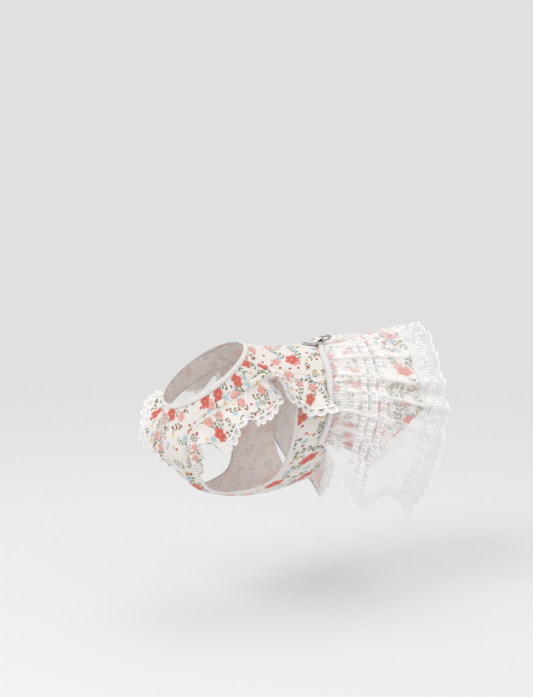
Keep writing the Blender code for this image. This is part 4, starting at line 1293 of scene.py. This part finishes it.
@dataclass
class Skirt:
    """The print layer, the tulle over it, and their laces."""

    spread: float = 0.078
    reach: float = 0.122
    drop: float = 0.150
    border_width: float = 0.020
    lace_width: float = 0.006
    row_width: float = 0.006
    row_start: float = 0.0315
    row_spacing: float = 0.0088
    rows: int = 3
    fold_depth: float = 0.010
    edge_droop: float = 0.040
    seated_share: float = 0.16
    root_rise: float = 0.0030
    binding_width: float = 0.0055
    seam_gap: float = 0.0003
    end_angle: float = 104.0
    droop_start: float = 90.0
    columns: int = 560
    scallops: int = 44

    def root(self, angle: Array) -> tuple[Array, Array]:
        """Share and point of the gathered edge, under the waist binding's rear edge."""
        seam = through(WAIST, "angle", "seam", np.abs(angle))
        share = seam + FORM.share_step(seam, angle, self.binding_width - 0.0012)
        return share, FORM.point(share, angle, self.root_rise)

    def hem(self, angle: Array) -> Array:
        """The tulle's hem line."""
        return np.stack([through(HEM, "angle", "out", angle) * self.spread,
                         through(HEM, "angle", "back", angle) * self.reach,
                         -through(HEM, "angle", "down", angle) * self.drop], -1)

    def length(self, angle: Array) -> Array:
        """Straight length from the waist to the hem."""
        return np.linalg.norm(self.hem(angle) - self.root(angle)[1], axis=-1)

    def sweep(self, angle: Array, along: Array) -> Array:
        """The skirt before its folds."""
        share, root = self.root(angle)
        hem = self.hem(angle)
        leave = unit(FORM.backward(share, angle) + 0.45 * FORM.outward(share, angle))
        bend = root + leave * np.linalg.norm(hem - root, axis=-1, keepdims=True) * 0.36
        t = along[..., None]
        return root * (1 - t) ** 2 + 2 * bend * t * (1 - t) + hem * t**2

    def folded(self, angle: Array, along: Array, left_droop: float) -> Array:
        """The skirt with its large folds and the droop of its front edges."""
        step = 0.05
        turn = self.sweep(angle + step, along) - self.sweep(angle - step, along)
        run = self.sweep(angle, along + step / 10) - self.sweep(angle, along - step / 10)
        depth = sum(fold.depth * np.exp(-((np.abs(angle) - fold.angle) / fold.half_width) ** 2)
                    for fold in FOLDS)
        press = depth * self.fold_depth * np.clip(along, 0.0, None) ** 1.3
        near = np.clip((np.abs(angle) - self.droop_start) / (self.end_angle - self.droop_start), 0.0, 1.0)
        share = np.where(angle > 0, through(DROOP, "length", "left", along) * left_droop,
                         through(DROOP, "length", "right", along))
        droop = (share * self.edge_droop * near**2)[..., None] * np.array((0.0, -0.16, -0.98))
        return self.sweep(angle, along) - unit(np.cross(turn, run)) * press[..., None] + droop

    def waves(self, angle: Array, along: Array) -> tuple[Array, Array]:
        """The fine pleats at the waist and the small folds below them, each from -1 to 1."""
        u = angle / self.end_angle
        pleats = np.sin(2 * math.pi * (u * 34 + 0.8 * np.sin(u * 19.0)))
        folds = np.sin(2 * math.pi * (u * 13 + 0.7 * np.sin(u * 9.0) + along * 0.4 * np.sin(u * 5.0)))
        return pleats, folds

    def relief(self, angle: Array, along: Array) -> Array:
        """Height of the gathers and small folds over the large ones."""
        pleats, folds = self.waves(angle, along)
        gathers = pleats * 0.0010 * np.exp(-along / 0.12) * np.clip(along / 0.02, 0.0, 1.0)
        crumple = ripple(angle * 0.0012, along * 0.10, 0.016, 41) * 0.0005 * np.clip(along * 3, 0.0, 1.0)
        return gathers + crumple + folds * 0.0010 * along + self.ledges(angle, along)

    @staticmethod
    def ledges(angle: Array, along: Array) -> Array:
        """Height of the folds' sharp edges: a slow rise towards each crease, then a drop."""
        height = np.zeros(np.broadcast(angle, along).shape)
        for crease in CREASES:
            off, reach = Skirt.beside(crease, angle, along)
            height = height + np.exp(-np.clip(-off, 0.0, None) / 2.6) / (1.0 + np.exp(off / 0.28)) * reach
        return height * 0.0022

    @staticmethod
    def beside(crease: CreaseRow, angle: Array, along: Array) -> tuple[Array, Array]:
        """Degrees past a crease, and how strong it is there."""
        middle = crease.waist + (crease.hem - crease.waist) * along
        fade_in = np.clip((along - crease.start) / 0.08, 0.0, 1.0)
        return np.abs(angle) - middle, fade_in * np.clip((crease.end - along) / 0.1, 0.0, 1.0)

    def point(self, angle: Array, along: Array, rise: Array | float = 0.0, left_droop: float = 1.0) -> Array:
        """Finds points of the skirt.

        Args:
            angle: Degrees round the waist, + on the left side.
            along: From the waist (0) to the tulle's hem (1).
            rise: Metres above the tulle's inner face.
            left_droop: How much of the left front edge's droop is taken.

        Returns:
            The points.
        """
        angle, along = np.broadcast_arrays(np.asarray(angle, float), np.asarray(along, float))
        step = 2.0
        turn = (self.folded(np.minimum(angle + step, self.end_angle), along, left_droop)
                - self.folded(np.maximum(angle - step, -self.end_angle), along, left_droop))
        run = (self.folded(angle, along + 0.02, left_droop)
               - self.folded(angle, np.maximum(along - 0.02, 0.0), left_droop))
        free = np.clip(along / self.seated_share, 0.0, 1.0)[..., None]
        outward = FORM.outward(self.root(angle)[0], angle)
        outward = unit(outward * (1 - free) + unit(np.cross(turn, run)) * free)
        return self.folded(angle, along, left_droop) + outward * (rise + self.relief(angle, along))[..., None]

    def strip(self, start: Array, end: Array, count: int, rise: float, left_droop: float = 1.0) -> Array:
        """A grid between two shares of the length."""
        angle = np.linspace(-self.end_angle, self.end_angle, self.columns)
        along = start + (end - start) * np.linspace(0.0, 1.0, count)[:, None]
        return self.point(angle, along, rise, left_droop)

    def build(self) -> None:
        """Makes both layers and their trims."""
        angle = np.linspace(-self.end_angle, self.end_angle, self.columns)
        length = self.length(angle)
        around = run_lengths(self.hem(angle), 0)
        self.print_layer(angle, length, around)
        self.tulle_layer(angle, length, around)

    def print_layer(self, angle: Array, length: Array, around: Array) -> None:
        """The print layer and its narrow lace."""
        hem = through(HEM, "angle", "print_share", angle)
        grid = self.strip(0.0 * hem, hem, 70, -0.0012, 0.0)
        down = hem * length * np.linspace(0.0, 1.0, 70)[:, None]
        uv = np.stack([np.broadcast_to(around * 0.95, down.shape), down], -1)
        # The skirt's print takes the paler copy with painted light.
        cloth = Cloth("print_skirt_cloth", grid, uv + 0.77, PAINTED_LIGHT_SKIRT_PRINT, 0.00045, WRONG_SIDE)
        piece = settle(cloth.build(), ("print_skirt",))
        start = hem - 0.0010 / length
        trim = self.strip(start, start + (self.lace_width + 0.0020) / length, 8, -0.0003, 0.0)
        across = np.broadcast_to(np.linspace(0.0, 1.0, 8)[:, None], trim.shape[:2])
        pitches = np.broadcast_to(around / 0.0078, trim.shape[:2])
        # This lace's painted shade is paler than on the frills' lace.
        lace = Cloth("print_skirt_lace_trim", trim, np.stack([pitches, across], -1),
                     Lace(colour=(0.97, 0.96, 0.95, 1.0), shade=(0.80, 0.77, 0.75, 1.0), moon=0.8))
        trim_piece = settle(lace.build(), ("print_skirt_lace",))
        cloth.declare(Hold.GATHERED, (trim_piece,), 1.15)

    def tulle_layer(self, angle: Array, length: Array, around: Array) -> None:
        """The tulle, its lace rows and its border."""
        end = 1.0 - (self.border_width - 0.0008) / length
        grid = self.strip(0.0 * end, end, 90, 0.0005)
        part = np.linspace(0.0, 1.0, 90)[:, None]
        down = end * length * part
        uv = np.stack([np.broadcast_to(around, down.shape), down], -1)
        cloth = Cloth("tulle_skirt_net", grid, uv, Tulle(), density=self.density(angle, end * part),
                      sheer=True)
        piece = settle(cloth.build(), ("tulle_skirt",))
        trims = [self.border(length, around), *(self.turned_edge(side) for side in Side)]
        for row in range(self.rows):
            trims.append(self.lace_row(row, length))
        cloth.declare(Hold.GATHERED, tuple(trims), 1.15)

    def turned_edge(self, side: Side) -> bpy.types.Object:
        """The narrow turned hem down one front edge of the tulle."""
        along = np.linspace(0.03, 1.0, 120)[:, None]
        part = np.linspace(0.0, 1.0, 7)
        angle = side.value * (self.end_angle - (3.6 - 1.9 * along) * (1.0 - part))
        swell = np.sqrt(np.clip(1.0 - (2 * part - 1.0) ** 2, 0.0, None)) * 0.0006
        grid = self.point(angle, along, 0.0009 + swell)
        if side is Side.RIGHT:
            grid = grid[:, ::-1]
        uv = np.stack([run_lengths(grid, 1), run_lengths(grid, 0)], -1)
        cloth = Cloth(f"tulle_edge_{side.word}", grid, uv, Tulle(haze=0.80))
        return settle(cloth.build(), ())

    def density(self, angle: Array, along: Array) -> Array:
        """Extra cover of the tulle: at gathers, on fold edges and at the turned front edges."""
        pleats, folds = self.waves(angle, along)
        gathers = (pleats * 0.5 + 0.5) ** 3 * 0.22 * np.exp(-along / 0.16)
        crests = np.clip(folds, 0.0, 1.0) ** 8 * 0.10
        edges = np.zeros(np.broadcast(angle, along).shape)
        for crease in CREASES:
            off, reach = self.beside(crease, angle, along)
            off = off * (0.4 + along)
            line = np.exp(-((off + 0.3) / 0.90) ** 2) * 0.42 + np.exp(-np.clip(-off, 0.0, None) / 4.5) * (off < 0) * 0.11
            edges = edges + line * reach
        inward = (self.end_angle - np.abs(angle)) * 0.0015
        turned = np.clip((0.0034 - inward) / 0.0004, 0.0, 1.0) * 0.50
        down = along * self.length(angle)
        first, last = self.row_start - 0.001, self.row_start + self.rows * self.row_spacing
        sewn = np.clip((down - first) / 0.001, 0.0, 1.0) * np.clip((last - down) / 0.001, 0.0, 1.0) * 0.16
        return np.clip(gathers + crests + edges + turned + sewn, 0.0, 0.80)

    def border(self, length: Array, around: Array) -> bpy.types.Object:
        """The wide embroidered border."""
        start = 1.0 - self.border_width / length
        grid = self.strip(start, 1.0 + 0.0 * start, 24, 0.0006)
        across = np.broadcast_to(np.linspace(0.0, 1.0, 24)[:, None], grid.shape[:2])
        turns = np.broadcast_to(around / around[-1] * self.scallops, grid.shape[:2])
        metric = np.stack([np.broadcast_to(around, across.shape), across * self.border_width], -1)
        cloth = Cloth("tulle_border_trim", grid, np.stack([turns, across], -1), Border(), metric=metric,
                      sheer=True)
        return settle(cloth.build(), ("tulle_border",))

    def lace_row(self, row: int, length: Array) -> bpy.types.Object:
        """One narrow lace row on the tulle."""
        start = (self.row_start + row * self.row_spacing) / length
        grid = self.strip(start, start + self.row_width / length, 8, 0.0009)
        across = np.broadcast_to(np.linspace(0.0, 1.0, 8)[:, None], grid.shape[:2])
        pitches = np.broadcast_to(run_lengths(grid[0], 0) / 0.0085 + row * 0.37, grid.shape[:2])
        finish = Lace(pattern=LacePattern.INSERTION)
        cloth = Cloth(f"lace_row_{row + 1}_trim", grid, np.stack([pitches, across], -1), finish, sheer=True)
        return settle(cloth.build(), (f"lace_row_{row + 1}",))


@dataclass
class Waist:
    """The white tape over the waist seam, with the stitches that hold it."""

    skirt: Skirt
    width: float = 0.0055
    rise: float = 0.0036

    def build(self) -> None:
        """Makes the tape and its two rows of stitches."""
        angle = np.linspace(-self.skirt.end_angle, self.skirt.end_angle, 420)
        seam = through(WAIST, "angle", "seam", np.abs(angle))
        across = np.linspace(0.0, 1.0, 13)[:, None]
        share = seam + FORM.share_step(seam, angle, 1.0) * self.width * across
        spread = np.broadcast_to(angle, share.shape)
        round_back = (1.0 - (2 * across - 1.0) ** 4) * 0.0005
        crush = ripple(spread * 0.00085, across * self.width, 0.0045, 31) * 0.00022 * (1 - np.abs(2 * across - 1))
        edge = -0.0024 * np.exp(-across / 0.05)
        grid = FORM.point(share, spread, self.rise)
        outward = FORM.outward(share, spread)
        grid = grid + outward * (round_back + crush + edge)[..., None]
        uv = np.stack([run_lengths(grid, 1), run_lengths(grid, 0)], -1)
        tape = Cloth("waist_binding_tape", grid, uv, TAPE, 0.0009)
        settle(tape.build(), ("waist_binding",))
        for name, row in (("front", 2), ("rear", 10)):
            seamed = sewn_line(f"waist_stitches_{name}", grid[row], outward[row])
            settle(seamed, ())


@dataclass
class LeadRing:
    """The metal ring with one straight bar, and the cloth tab that holds it."""

    wire: float = 0.0018
    width: float = 0.0150
    depth: float = 0.0122
    corner: float = 0.0018
    tilt: float = 14.0
    tab_width: float = 0.009
    tab_length: float = 0.017
    tab_wall: float = 0.0010
    clearance: float = 0.0004
    seam_gap: float = 0.0003
    binding_width: float = 0.0055
    binding_top: float = 0.0040

    def binding_edge(self, part: float) -> tuple[float, float]:
        """The waist binding's outer face on the spine, part of its width back, as (y, z)."""
        seam = through(WAIST, "angle", "seam", 0.0)
        share = seam + FORM.share_step(seam, 0.0, self.binding_width * part)
        point = FORM.point(share, 0.0, self.binding_top)
        return float(point[1]), float(point[2])

    def spine_top(self, y: float) -> float:
        """Height of the back panel's outer face on the spine."""
        spine = FORM.point(np.linspace(0.0, 1.0, 101), 0.0, 0.0012)
        return float(np.interp(y, spine[:, 1], spine[:, 2]))

    def bar(self) -> tuple[float, float]:
        """Place of the ring's straight bar, as (y, z)."""
        radius = self.wire / 2 + self.clearance + self.tab_wall
        return self.binding_edge(0.6)[0], self.binding_edge(0.0)[1] + self.seam_gap + radius

    def build(self) -> None:
        """Makes the ring and the tab."""
        self.ring()
        self.tab()

    def ring(self) -> None:
        """A smooth wire swept round the ring's outline."""
        half = (self.width - self.wire) / 2
        depth = self.depth - self.wire
        quarter = np.radians(np.linspace(0.0, 90.0, 9))
        corner = np.stack([half - self.corner + np.sin(quarter) * self.corner,
                           self.corner - np.cos(quarter) * self.corner], -1)
        turn = np.radians(np.linspace(0.0, 180.0, 49))[1:-1]
        bow = np.stack([half * np.cos(turn), self.corner + (depth - self.corner) * np.sin(turn)], -1)
        bar = np.stack([np.linspace(-half + self.corner, half - self.corner, 12)[1:-1], np.zeros(10)], -1)
        outline = np.concatenate([corner, bow, (corner * [-1, 1])[::-1], bar])
        along = unit(np.roll(outline, -1, 0) - np.roll(outline, 1, 0))
        outward = np.stack([along[:, 1], -along[:, 0]], -1)
        turns = np.radians(np.linspace(0.0, 360.0, 17))
        radius = self.wire / 2
        tube = np.zeros((len(turns), len(outline) + 1, 3))
        closed = np.concatenate([outline, outline[:1]])
        out = np.concatenate([outward, outward[:1]])
        tube[..., :2] = closed + out * (np.cos(turns) * radius)[:, None, None]
        tube[..., 2] = (np.sin(turns) * radius)[:, None]
        tilt = math.radians(self.tilt)
        bar_y, bar_z = self.bar()
        grid = np.stack([tube[..., 0],
                         tube[..., 1] * math.cos(tilt) - tube[..., 2] * math.sin(tilt) + bar_y,
                         tube[..., 1] * math.sin(tilt) + tube[..., 2] * math.cos(tilt) + bar_z], -1)
        cloth = Cloth("lead_ring_wire", grid[::-1], grid[..., :2], Plated())
        settle(cloth.build(), ("lead_ring",), "ring")

    def tab(self) -> None:
        """The folded loop of print cloth round the bar, sewn down in front of it."""
        bar_y, bar_z = self.bar()
        radius = self.wire / 2 + self.clearance + self.tab_wall / 2
        seat = self.seam_gap + self.tab_wall / 2
        layer = self.tab_wall + self.seam_gap
        front = bar_y - self.tab_length
        edge = self.binding_edge(0.0)[0]
        foot = edge - 2 * (self.tab_wall + self.binding_width / 4)
        turns = np.radians(np.linspace(-90.0, 90.0, 17))
        loop = np.stack([bar_y + radius * np.cos(turns), bar_z + radius * np.sin(turns)], -1)
        under = np.array([(front, self.spine_top(front) + seat), (foot, self.spine_top(foot) + seat),
                          (edge - self.tab_wall, bar_z - radius)])
        over = np.array([(bar_y - radius, bar_z + radius * 0.9),
                         (foot - layer / 4, self.spine_top(foot) + seat + layer),
                         (front, self.spine_top(front) + seat + layer)])
        path = np.concatenate([under, loop, over])
        run = run_lengths(path, 0)
        fine = np.linspace(0.0, run[-1], 90)
        path = np.stack([np.interp(fine, run, path[:, 0]), np.interp(fine, run, path[:, 1])], -1)
        across = np.linspace(-0.5, 0.5, 12)[None, :] * self.tab_width
        grid = np.stack([np.broadcast_to(across, (90, 12)), np.broadcast_to(path[:, :1], (90, 12)),
                         np.broadcast_to(path[:, 1:], (90, 12))], -1)
        uv = np.stack([np.broadcast_to(across, (90, 12)), np.broadcast_to(fine[:, None], (90, 12))], -1)
        cloth = Cloth("ring_tab_cloth", grid, uv + 0.4, PRINT, 0.0)
        piece = cloth.build()
        solid = piece.modifiers.new("wall", "SOLIDIFY")
        solid.thickness = 0.0008
        solid.offset = 0.0
        settle(piece, ("ring_tab",))
        top = grid[-34:-3]
        lift = np.broadcast_to(np.array([0.0, 0.0, 1.0]), top[:, 1].shape)
        for name, col in (("left", 10), ("right", 1)):
            line = sewn_line(f"tab_stitches_{name}", top[:, col] + lift * 0.0004, lift, 0.0014, 0.0007)
            settle(line, ())


@dataclass
class Studio:
    """A pale floor, soft lights and the camera."""

    floor_height: float = -0.22
    pixel: float = 0.00085
    distance: float = 1.35
    frame_height: float = 697.0
    sensor: float = 36.0
    back: tuple[float, float, float] = (0.8576, -0.4951, 0.1392)
    right: tuple[float, float, float] = (0.5, 0.866, 0.0)
    aim: tuple[float, float] = (-29.5, -2.5)
    backdrop: float = 0.745

    def build(self) -> None:
        """Makes the whole studio."""
        scene = bpy.context.scene
        scene.view_settings.view_transform = "Standard"
        self.camera(scene)
        self.floor()
        self.world(scene)
        self.area_light("key", (0.5, -1.6, 1.5), 1.2, 17.0)
        self.area_light("fill", (2.0, 0.9, 0.8), 1.8, 4.0)
        self.area_light("top", (-0.3, 0.3, 2.0), 1.4, 6.0)

    def camera(self, scene: bpy.types.Scene) -> None:
        """Stands the camera where the photograph was taken from."""
        back = unit(np.array(self.back))
        right = unit(np.array(self.right))
        up = np.cross(back, right)
        place = back * self.distance + (right * self.aim[0] + up * self.aim[1]) * self.pixel
        data = bpy.data.cameras.new("camera")
        data.sensor_width = self.sensor
        data.lens = self.sensor * self.distance / self.pixel / self.frame_height
        data.clip_end = 50.0
        camera = bpy.data.objects.new("camera", data)
        matrix = np.eye(4)
        matrix[:3, 0], matrix[:3, 1], matrix[:3, 2], matrix[:3, 3] = right, up, back, place
        camera.matrix_world = matrix.T.tolist()
        scene.collection.objects.link(camera)
        scene.camera = camera

    def floor(self) -> None:
        """A round floor that fades into the backdrop."""
        turns = np.linspace(0.0, 2 * math.pi, 65)
        radii = np.linspace(0.0, 3.0, 30)[:, None]
        grid = np.stack([radii * np.cos(turns), radii * np.sin(turns),
                         np.full((30, 65), self.floor_height)], -1)
        mesh_name = "floor"
        mesh = bpy.data.meshes.new(mesh_name)
        row, col = np.meshgrid(np.arange(29), np.arange(64), indexing="ij")
        first = (row * 65 + col).ravel()
        mesh.from_pydata(grid.reshape(-1, 3).tolist(), [],
                         np.stack([first, first + 65, first + 66, first + 1], -1).tolist())
        floor = bpy.data.objects.new(mesh_name, mesh)
        bpy.context.collection.objects.link(floor)
        material = bpy.data.materials.new("pale_floor")
        material.use_nodes = True
        graph = Graph(material.node_tree)
        shader = material.node_tree.nodes["Principled BSDF"]
        x, y, _ = graph.split(graph.take(graph.node("ShaderNodeTexCoord"), "Object"))
        radius = (x * x + y * y).of("SQRT")
        graph.feed(shader.inputs["Alpha"], radius.below(0.9, 0.5))
        shader.inputs["Base Color"].default_value = (0.80, 0.80, 0.80, 1.0)
        shader.inputs["Roughness"].default_value = 0.95
        mesh.materials.append(material)

    def world(self, scene: bpy.types.Scene) -> None:
        """An even pale backdrop that also lights the object."""
        world = bpy.data.worlds.new("backdrop")
        world.use_nodes = True
        shade = world.node_tree.nodes["Background"]
        shade.inputs["Color"].default_value = (self.backdrop, self.backdrop, self.backdrop, 1.0)
        shade.inputs["Strength"].default_value = 1.0
        scene.world = world

    @staticmethod
    def area_light(name: str, place: tuple, size: float, power: float) -> None:
        """A square soft light that faces the object."""
        data = bpy.data.lights.new(name, "AREA")
        data.size = size
        data.energy = power
        light = bpy.data.objects.new(name, data)
        back = unit(np.array(place))
        right = unit(np.cross((0.0, 0.0, 1.0), back))
        matrix = np.eye(4)
        matrix[:3, 0], matrix[:3, 1], matrix[:3, 2], matrix[:3, 3] = right, np.cross(back, right), back, place
        light.matrix_world = matrix.T.tolist()
        bpy.context.collection.objects.link(light)


def main() -> None:
    """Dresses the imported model."""
    logging.basicConfig(level=logging.INFO, format="%(message)s")
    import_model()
    Studio().build()
    skirt = Skirt()
    Waist(skirt).build()
    skirt.build()
    for side in Side:
        Ruffle(side).build()
    Bodice().build()
    LeadRing().build()
    bpy.context.view_layer.update()


if __name__ == "__main__":
    main()
